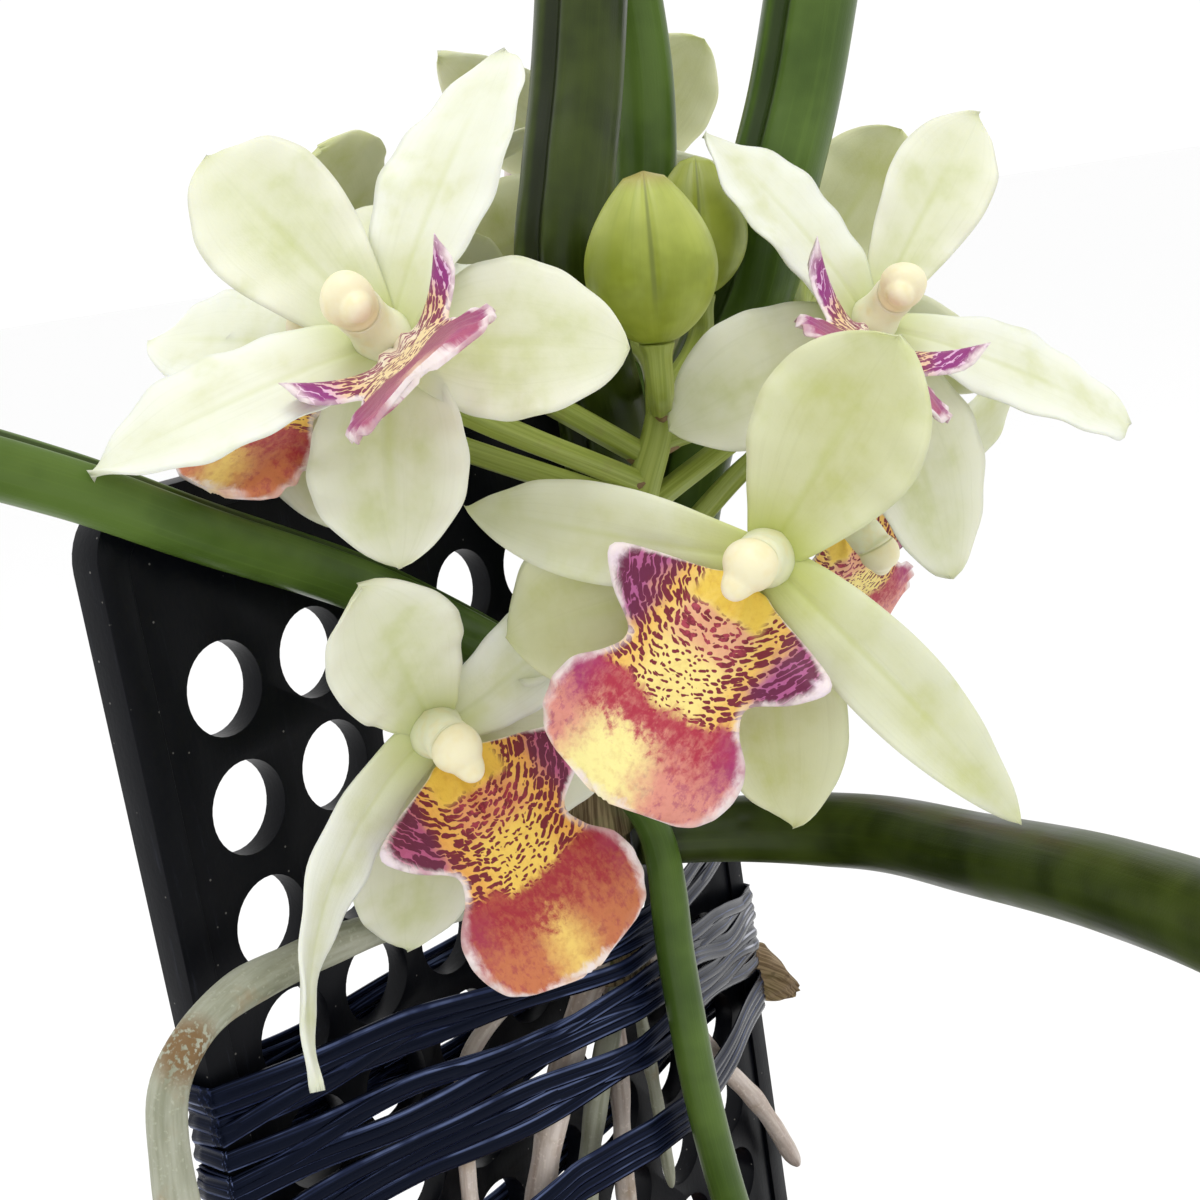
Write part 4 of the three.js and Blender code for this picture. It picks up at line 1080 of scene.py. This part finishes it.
spike_green = Finish("spike_green", roughness=0.42, subsurface=0.12)
spike_flutes = spike_green.grain((5, 5, 0.05)).noise(1.0, 3)
spike_warm = spike_green.place().noise(0.18, 3).step(0.56, 0.76, 0, 0.5)
spike_tone = mix(spike_flutes.step(0.3, 0.7), (0.26, 0.32, 0.045), (0.37, 0.43, 0.09))
spike_green.colour(mix(spike_warm, spike_tone, (0.24, 0.17, 0.07)))
spike_green.relief(spike_flutes, 0.1, 0.4)
scale_brown = Finish("scale_brown", roughness=0.7, specular=0.3)
scale_brown.colour(mix(scale_brown.place().noise(0.8, 4), (0.10, 0.055, 0.03), (0.36, 0.24, 0.11)))


def stalk_radius(share):
    return PEDICEL_RADIUS * (1 + 0.15 * share + 0.28 * math.exp(-((share - 1) / 0.06) ** 2))


def stalk_section(angle, share):
    return 1 + 0.07 * math.cos(6 * angle + 5 * share)


def rachis_radius(share):
    return RACHIS_RADIUS - RACHIS_TAPER * share


def rachis_section(angle, share):
    return 1 + 0.04 * math.cos(5 * angle)


def scale_radius(share):
    return SCALE_RADIUS * (1 - share) ** 0.6 + 0.05


def scale_section(angle, share):
    return 1 - 0.3 * abs(math.sin(angle))


spike_parts = [(*sweep(RACHIS, rachis_radius, rachis_section, sides=40, steps=60), 0)]
stalk_lines = []
for flower in FLOWERS.values():
    behind = in_place([(0, -1.5, -12), (0, 0.6, -NECK_LENGTH - 2 * SEAT_GAP)], flower)
    stalk_lines.append([stalk_foot(flower), *flower.get("via", []), *behind])
for bud in BUDS.values():
    foot, tip = np.array(bud["foot"], float), np.array(bud["tip"], float)
    axis = (tip - foot) / np.linalg.norm(tip - foot)
    end = foot - SEAT_GAP * axis
    stalk_lines.append([stalk_foot(bud), end - 5 * axis, end])
for line in stalk_lines:
    spike_parts.append((*sweep(line, stalk_radius, stalk_section, sides=24, steps=60), 0))
    path, _ = smooth_path(line, 60)
    out = path[9] - path[0]
    out /= np.linalg.norm(out)
    scale_line = [path[0], path[0] + 2.4 * out - (0, 0, 0.5), path[0] + 4.6 * out - (0, 0, 0.9)]
    spike_parts.append((*sweep(scale_line, scale_radius, scale_section, sides=16, steps=12), 1))
spike = assemble("flower_spike", spike_parts, [spike_green, scale_brown])
fix(spike, "spike", "flower_spike")


# Flowers
# Waxy ivory-green flowers: three sepals and two narrower, twisted petals round a short cream column
# with a rounded cap. They are about a millimetre thick, whitish at the margins and faintly veined.

TEPAL_SHAPES = {
    "dorsal": dict(
        turn=0, length=27, width=16.5, lift=20, bend=25, cup=0.16, widest=0.62, round=0.62, fore=-0.3,
    ),
    "petal_right": dict(turn=85, length=33, width=13, lift=12, bend=25, twist=-25, fore=0.7),
    "petal_left": dict(turn=-85, length=33, width=13, lift=12, bend=25, twist=25, fore=0.7),
    "sepal_right": dict(turn=142, length=29, width=16, lift=0, bend=22, cup=0.12, round=0.7, fore=-0.3),
    "sepal_left": dict(turn=-142, length=29, width=16, lift=0, bend=22, cup=0.12, round=0.7, fore=-0.3),
}
USUAL_TEPAL = dict(sway=0, twist=0, cup=0.1, widest=0.55, round=0.8)
TEPAL_WAVE = 0.6
TEPAL_ROWS = 44
TEPAL_COLUMNS = 18
BLADE_THICKNESS = 0.8
COLUMN_RADII = (1.9, 2.6, 3.3, 3.0, 2.6, 2.5, 2.6, 2.5, 2.1, 0.4)
COLUMN_VOXEL = 0.2
CAP_RADIUS = 2.8
BEAK_RADIUS = 1.85


def turned_about(vector, axis, degrees):
    a = math.radians(degrees)
    return (
        vector * math.cos(a) + np.cross(axis, vector) * math.sin(a)
        + axis * axis.dot(vector) * (1 - math.cos(a))
    )


def tepal(form, seed):
    """A sepal or petal on an arc from the flower's centre, from the same measures as its solid."""
    length, width, cup, fore = form["length"], form["width"], form["cup"], form["fore"]
    power = math.log(0.5) / math.log(form["widest"])

    def heading(s):
        a = math.radians(form["turn"] + form["sway"] * s)
        e = math.radians(form["lift"] - form["bend"] * s)
        return np.array([math.sin(a) * math.cos(e), math.cos(a) * math.cos(e), math.sin(e)])

    rows = []
    centre = np.zeros(3)
    substeps = 3
    for i in range(TEPAL_ROWS + 1):
        s = i / TEPAL_ROWS
        for k in range(substeps if i else 0):
            way = (i - 1 + (k + 0.5) / substeps) / TEPAL_ROWS
            centre = centre + heading(way) * length / TEPAL_ROWS / substeps
        a = math.radians(form["turn"] + form["sway"] * s)
        forward = heading(s)
        across = turned_about(np.array([math.cos(a), -math.sin(a), 0]), forward, form["twist"] * s)
        normal = np.cross(across, forward)
        normal /= np.linalg.norm(normal)
        half = 1.5 * (1 - s) ** 3 + (width / 2) * max(0, math.sin(math.pi * s**power)) ** form["round"]
        half += 0.35 * (1 - s**12)
        points, grain = [], []
        for t in np.linspace(-1, 1, TEPAL_COLUMNS + 1):
            ripple = TEPAL_WAVE * t * t * math.sin(2 * math.pi * (1.6 * s + (0.1 if t > 0 else 0.55)))
            flutter = 0.22 * t * t * math.sin(2 * math.pi * (5.3 * s + 0.37 * seed + (0.4 if t > 0 else 0)))
            midrib = -0.32 * math.exp(-(t / 0.12) ** 2) * (1 - s)
            rise = cup * half * t * t + (ripple + flutter) * min(1, 3 * s) + midrib + fore * min(1, 4 * s)
            points.append(centre + across * half * t + normal * rise)
            grain.append((t, s, seed))
        rows.append((points, normal, grain))
    return blade(rows, BLADE_THICKNESS)


def tepal_finish(name, middle, margin, base):
    """Ivory, paler to the margin, yellow-green at the base and the very tip, with faint long veins."""
    finish = Finish(name, roughness=0.5, subsurface=0.2, specular=0.3)
    off, share = abs(finish.grain().axis(0)), finish.grain().axis(1)
    cloud = finish.place().noise(0.16, 4)
    veins = finish.grain((13, 1.4, 3)).noise(1.0, 3, distortion=0.5)
    inner = off.step(0.3, 0.95, 1, 0) * share.step(0.8, 1.0, 1, 0.3)
    tone = mix(inner * cloud.step(0.3, 0.7, 0.4, 1), margin, middle)
    for part in (cloud.step(0.5, 0.8, 0, 0.4), share.step(0.36, 0.0, 0, 0.9), share.step(0.92, 1.0, 0, 0.3)):
        tone = mix(part, tone, base)
    tone = mix(veins.step(0.5, 0.72, 0, 0.16) * off.step(1.0, 0.7), tone, tinted(middle, 0.85))
    keel = off.step(0.12, 0.0, 0, 0.25) * share.step(0.9, 0.5)
    finish.colour(mix(keel, tone, base))
    finish.relief(veins, 0.12, 0.2)
    finish.relief(finish.place().noise(3.4, 2), 0.06, 0.3)
    return finish


TEPAL_FINISHES = {
    "pale": [
        tepal_finish("sepal_pale", (0.63, 0.66, 0.40), (0.78, 0.79, 0.64), (0.48, 0.54, 0.15)),
        tepal_finish("petal_pale", (0.71, 0.73, 0.53), (0.82, 0.84, 0.74), (0.54, 0.59, 0.22)),
    ],
    "golden": [
        tepal_finish("sepal_golden", (0.55, 0.57, 0.26), (0.68, 0.70, 0.46), (0.46, 0.52, 0.09)),
        tepal_finish("petal_golden", (0.59, 0.61, 0.35), (0.70, 0.72, 0.54), (0.50, 0.55, 0.13)),
    ],
}

column_cream = Finish("column_cream", roughness=0.42, subsurface=0.25)
column_front = column_cream.grain().axis(1)
column_height = column_cream.grain().axis(2)
column_lean = column_front * -0.45 + column_height
column_cloud = column_cream.grain().noise(0.45, 3)
column_tone = mix(column_height.step(-1, 3.5), (0.60, 0.65, 0.30), (0.86, 0.86, 0.66))
column_tone = mix(column_lean.step(7.4, 8.2), column_tone, (0.88, 0.82, 0.56))
column_tone = mix(column_cloud.step(0.45, 0.7, 0, 0.4), column_tone, (0.84, 0.72, 0.38))
column_beak = column_front.step(-1.6, -2.8) * column_height.step(7, 9)
column_cream.colour(mix(column_beak, column_tone, (0.88, 0.80, 0.60)))
column_cream.relief(abs(column_lean - 7.6).step(0.0, 0.3), 0.25, 0.8)
column_cream.relief(column_cloud, 0.15, 0.3)


def column():
    """Post, cap and beak run into one another: one skin in the flower's own frame."""
    post = sweep(
        [(0, 0.6, -NECK_LENGTH), (0, 0.2, 0.6), (0, 0.8, 4.8), (0, 0.6, 8.6), (0, -0.3, 10.6)],
        lambda s: np.interp(s, np.linspace(0, 1, len(COLUMN_RADII)), COLUMN_RADII), sides=32, steps=40,
    )
    cap = sweep(
        [(0, 1.6, 7.0), (0, 0.7, 9.4), (0, -0.9, 11.3)],
        lambda s: CAP_RADIUS * math.sqrt(max(0.004, 1 - (2 * s - 1) ** 2)) * (1.05 - 0.12 * s),
        lambda angle, s: 1 + 0.03 * math.cos(3 * angle), sides=32, steps=24,
    )
    beak = sweep(
        [(0, -0.2, 9.4), (0, -1.7, 10.3), (0, -2.8, 9.9)],
        lambda s: BEAK_RADIUS * math.sqrt(max(0.004, 1 - s**2.4)), sides=20, steps=14,
    )
    lump = assemble("column", [(*part, 0) for part in (post, cap, beak)], [column_cream])
    merge = lump.modifiers.new("merge", "REMESH")
    merge.mode = "VOXEL"
    merge.voxel_size = COLUMN_VOXEL * MM
    lump.modifiers.new("soften", "SMOOTH").iterations = 9
    lump = settled(lump)
    skin = np.array([vertex.co for vertex in lump.data.vertices]) / MM
    faces = [tuple(face.vertices) for face in lump.data.polygons]
    bpy.data.objects.remove(lump)
    return skin, faces, skin


column_skin, column_faces, column_grain = column()


# Lips
# Each flower's lip is hinged at the foot of its column: two side lobes that stand up, a narrow waist
# and a fan-shaped end with a frilled edge. It is yellow, dashed with maroon in arcs, with magenta
# side lobes and a rose-red end that pales to white at the margin.

LIP_HALF_WIDTHS = (2.6, 9, 12.9, 11, 7.2, 7.8, 10.2, 11, 10.7, 9.4, 6)
LIP_LENGTH = 25
LIP_FOOT = (0, -2.9, 2.4)
LIP_ROWS = 64
LIP_COLUMNS = 40
USUAL_LIP = dict(size=1, spread=1, raised=0.3, broad=0)


def lip_half_width(s):
    """Half the lip's width at share s, on the smooth curve through the measured widths."""
    last = len(LIP_HALF_WIDTHS) - 1
    i = min(int(s * last), last - 1)
    t = s * last - i
    p0, p1, p2, p3 = (LIP_HALF_WIDTHS[min(max(k, 0), last)] for k in (i - 1, i, i + 1, i + 2))
    return (
        (2 * p1 - 2 * p2 + (p2 - p0) / 2 + (p3 - p1) / 2) * t**3
        + (-3 * p1 + 3 * p2 - (p2 - p0) - (p3 - p1) / 2) * t**2 + (p2 - p0) / 2 * t + p1
    )


def hump(value, middle, reach):
    """1 at the middle, falling away to both sides."""
    return math.exp(-(((value - middle) / reach) ** 2))


def lip(form, seed):
    length = LIP_LENGTH * form["size"]

    def heading(s):
        down = math.radians(form["pitch"] + form["droop"] * s)
        return np.array([0, -math.sin(down), math.cos(down)])

    rows = []
    centre = np.array(LIP_FOOT, float)
    before = 0
    for i in range(LIP_ROWS + 1):
        s = i / LIP_ROWS * (1.6 - 0.6 * i / LIP_ROWS)
        centre = centre + heading((before + s) / 2) * length * (s - before)
        before = s
        forward = heading(s)
        normal = np.array([0, forward[2], -forward[1]])
        half = lip_half_width(s) * form["size"] * form["spread"]
        half += form["broad"] * (hump(s, 0.11, 0.05) + 0.7 * hump(s, 0.31, 0.05))
        half *= min(1, math.sqrt(max(0, (1.004 - s) / 0.05)))
        arch = form["raised"] * hump(s, 0.22, 0.13) - 0.16 * s
        fade = min(1, max(0, (s - 0.4) / 0.1)) * min(1, max(0, (0.97 - s) / 0.08))
        points, grain = [], []
        for t in np.linspace(-1, 1, LIP_COLUMNS + 1):
            ruffle = 0.5 * math.sin(9 * t) * t * t * s * max(0, min(1, (s - 0.4) / 0.2))
            frill = 0.35 * abs(t) ** 5 * math.sin(60 * s + seed) * fade
            ridge = 0.9 * hump(abs(t), 0.13, 0.07) * hump(s, 0.16, 0.14)
            dimple = -0.5 * hump(t, 0, 0.3) * hump(s, 0.55, 0.1)
            rise = half * t * t * arch + ruffle + frill + ridge + dimple
            scallop = 0.03 * half * (1 - t**4) * math.sin(17 * t + seed) * max(0, (s - 0.86) / 0.14)
            points.append(centre + np.array([-half * t, 0, 0]) + normal * rise + forward * scallop)
            grain.append((half * t, LIP_LENGTH * s, t))
        rows.append((points, normal, grain))
    return blade(rows, BLADE_THICKNESS)


LIP_LOOKS = {
    "golden": dict(
        ground=(0.90, 0.74, 0.25), shoulder=(0.84, 0.52, 0.12), foot=(0.84, 0.60, 0.09),
        mark=(0.19, 0.012, 0.026), dot=0.235, dash=0.42,
        lobe=(0.42, 0.10, 0.26), lobe_mark=(0.14, 0.010, 0.055), lobe_dash=0.5,
        callus=(0.78, 0.42, 0.24), callus_mark=(0.44, 0.05, 0.09),
        band=(0.42, 0.026, 0.055), end=(0.76, 0.32, 0.24), side=(0.36, 0.030, 0.15),
        patch=(0.94, 0.84, 0.34), patch_reach=6.2, patch_at=1.8, pale_from=16.8, shift=3.0,
    ),
    "ruddy": dict(
        ground=(0.88, 0.60, 0.11), shoulder=(0.80, 0.40, 0.08), foot=(0.84, 0.54, 0.07),
        mark=(0.18, 0.010, 0.020), dot=0.265, dash=0.43,
        lobe=(0.44, 0.09, 0.20), lobe_mark=(0.13, 0.009, 0.040), lobe_dash=0.52,
        callus=(0.76, 0.34, 0.12), callus_mark=(0.38, 0.035, 0.06),
        band=(0.36, 0.020, 0.032), end=(0.60, 0.20, 0.075), side=(0.36, 0.030, 0.07),
        patch=(0.88, 0.62, 0.16), patch_reach=4.0, patch_at=0.6, pale_from=17.2, shift=11.0,
    ),
    "purple": dict(
        ground=(0.84, 0.68, 0.38), shoulder=(0.80, 0.56, 0.30), foot=(0.88, 0.80, 0.66),
        mark=(0.22, 0.018, 0.070), dot=0.29, dash=0.44,
        lobe=(0.72, 0.44, 0.66), lobe_mark=(0.27, 0.022, 0.19), lobe_dash=0.54,
        callus=(0.86, 0.76, 0.60), callus_mark=(0.40, 0.10, 0.18),
        band=(0.28, 0.030, 0.110), end=(0.42, 0.08, 0.17), side=(0.32, 0.035, 0.18),
        patch=(0.76, 0.52, 0.36), patch_reach=3.4, patch_at=0, pale_from=20.0, shift=23.0,
    ),
}


def lip_finish(name, look):
    """Marks lie in arcs round the lip's foot: dots in the middle, dashes towards the shoulders."""
    finish = Finish(name, roughness=0.44, subsurface=0.12, specular=0.35)
    grain, place = finish.grain(), finish.place()
    across, along = grain.axis(0), grain.axis(1)
    far = abs(across)
    cloud = place.noise(0.22, 4) - 0.5
    waver = cloud * 5.0
    fibre = finish.grain((1.5, 0.7, 0.4)).noise(1.0, 5, 0.68, 0.5)
    mottle = place.noise(1.1, 5, 0.65)

    depth = along + 1.5
    reach = (across * across + depth * depth).sum("SQRT")
    angle = across.sum("ARCTAN2", depth)
    bend = (place.noise(0.6, 2) - 0.5) * 2.4
    turn = angle / (abs(angle) * 0.5 + 1.0)
    lay = finish.make(
        "ShaderNodeCombineXYZ", turn * reach + bend, reach * 1.6 + (bend * 0.8 + look["shift"])
    )
    cells = lay.cells(1.2, randomness=0.85, dimensions="2D")

    lobe_zone = along.step(10.5, 8.5)
    lobe = (far + waver).step(5.6, 8.2) * lobe_zone
    callus = along.step(3.6, 4.6) * along.step(9.5, 7.0) * (cloud * 3.0 + far).step(5.0, 3.0)
    throat = along.step(4.6, 3.4) * far.step(4.6, 3.4)
    end = (fibre * 3.0 + (far * 0.26 + (along + waver))).step(15.4, 17.0)

    thick = (far + waver).step(1.5, 5.5, look["dot"], look["dash"])
    thick = callus * 0.12 + (lobe * (look["lobe_dash"] - look["dash"]) + thick)
    mark = (cells - thick).step(0.05, -0.03) * (1.0 - throat)
    blush = callus * mottle.step(0.4, 0.6)
    ink = mix(lobe, mix(blush, look["mark"], look["callus_mark"]), look["lobe_mark"])
    frost = finish.grain((0.7, 1.2, 1)).noise(1.0, 4) * 2.6 + far
    tone = mix(far.step(2.4, 6.0), look["ground"], look["shoulder"])
    tone = mix(callus, tone, look["callus"])
    tone = mix(throat, tone, look["foot"])
    tone = mix(lobe, tone, look["lobe"])
    tone = mix(mark, tone, ink)
    tone = mix(frost.step(12.0, 13.6, 0, 0.9) * lobe_zone, tone, (0.84, 0.72, 0.82))

    lighter = tuple(0.6 * a + 0.4 * b for a, b in zip(look["band"], look["end"]))
    red = mix(fibre.step(0.36, 0.64) * mottle.step(0.35, 0.6), look["band"], lighter)
    red = mix((far + waver).step(5.6, 9.5, 0, 0.85), red, look["side"])
    fleck = finish.grain((1.3, 0.8, 1)).noise(1.0, 4, 0.7).step(0.48, 0.66, 0, 0.55)
    paler = fibre * 3.0 + (mottle * 8.0 + (along + waver) - 3.0)
    pale = paler.step(look["pale_from"] + 1.0, look["pale_from"] + 6.5, 0, 0.9)
    far_end = mix(pale, red, mix(fleck, look["end"], look["side"]))
    patch = mottle * 3.0 + (abs(across - look["patch_at"]) + waver)
    patch = patch.step(look["patch_reach"] + 1.5, look["patch_reach"] - 3)
    patch = patch * paler.step(look["pale_from"] + 2.6, look["pale_from"] + 5.6)
    tone = mix(end, tone, mix(patch, far_end, look["patch"]))
    tone = mix(mottle.step(0.45, 0.7, 0, 0.4), tone, (0.80, 0.66, 0.62), "MULTIPLY")
    rim = (fibre * 0.16 + abs(grain.axis(2))).step(0.94, 1.06)
    rim = rim.sum("MAXIMUM", (fibre * 2.0 + along).step(24.6, 25.6))
    rim = rim * place.noise(0.3, 3).step(0.36, 0.62, 0.35, 0.95)
    finish.colour(mix(rim, tone, (0.88, 0.78, 0.76)))
    finish.relief(fibre, 0.2, 0.4)
    finish.relief(cells, 0.12, 0.25)
    return finish


lip_finishes = {look: lip_finish("lip_" + look, measures) for look, measures in LIP_LOOKS.items()}

seed = 0
for name, flower in FLOWERS.items():
    look = flower.get("look", "golden")
    parts = []
    for key, shape in TEPAL_SHAPES.items():
        seed += 1
        skin, faces, grain = tepal({**USUAL_TEPAL, **shape, **flower.get(key, {})}, seed)
        parts.append((in_place(skin, flower), faces, grain, 1 if "petal" in key else 0))
    parts.append((in_place(column_skin, flower), column_faces, column_grain, 2))
    tint = TEPAL_FINISHES["golden" if look == "golden" else "pale"]
    fix(assemble(name, parts, [*tint, column_cream]), "tepal", name)
    skin, faces, grain = lip({**USUAL_LIP, **flower["lip"]}, seed)
    piece = assemble(name + "_lip", [(in_place(skin, flower), faces, grain, 0)], [lip_finishes[look]])
    fix(piece, "lip", name + "_lip")


# Buds
# Two plump closed buds, waxy and yellow-green, with the seams of the three outer sepals and a
# brownish beak. Each sits on its own stalk of the spike.

BUD_TURN = 35
BUD_SEAMS = 3

bud_green = Finish("bud_green", roughness=0.4, subsurface=0.2)
bud_grain = bud_green.grain()
bud_along = bud_grain.axis(2)
bud_veins = bud_green.grain((5, 5, 0.06)).noise(1.0, 3)
bud_angle = bud_grain.axis(1).sum("ARCTAN2", bud_grain.axis(0))
# Painted shade: the sunken seams between the three outer sepals are darkened in the colour.
bud_seam_painted_shade = abs((bud_angle * (BUD_SEAMS / 2)).sum("SINE")).step(0.09, 0.02, 0, 0.55) * bud_along.step(2, 9)
bud_tone = mix(bud_green.place().noise(0.14, 3).step(0.35, 0.65), (0.23, 0.28, 0.015), (0.36, 0.42, 0.05))
bud_tone = mix(bud_along.step(9, 15.5, 0, 0.5), bud_tone, (0.46, 0.50, 0.12))
bud_tone = mix(bud_veins.step(0.5, 0.7, 0, 0.25), bud_tone, (0.20, 0.27, 0.03))
bud_tone = mix(bud_seam_painted_shade, bud_tone, (0.13, 0.16, 0.015))
bud_green.colour(mix(bud_along.step(17, 19.2, 0, 0.6), bud_tone, (0.34, 0.22, 0.08)))
bud_green.relief(bud_veins, 0.2, 0.4)


def bud_section(angle, share):
    within = angle * BUD_SEAMS / (2 * math.pi) % 1
    seam = 0.10 * math.exp(-(min(within, 1 - within) / 0.035) ** 2) * min(1, share * 2)
    return 1.03 - seam - 0.03 * math.cos(BUD_SEAMS * angle)


for name, bud in BUDS.items():
    def bud_radius(share, radius=bud["radius"]):
        body = max(0.0, math.sin(math.pi * (0.06 + 0.9 * share**0.85))) ** 0.75
        return radius * max(0.02 + 0.14 * (1 - share**20), body * (1 - 0.9 * max(0, (share - 0.97) / 0.03)))

    middle = (np.array(bud["foot"]) + np.array(bud["tip"])) / 2
    line = [bud["foot"], middle, bud["tip"]]
    skin = sweep(line, bud_radius, bud_section, sides=72, steps=60, turn=BUD_TURN)
    fix(assemble(name, [(*skin, 0)], [bud_green]), "bud", name)
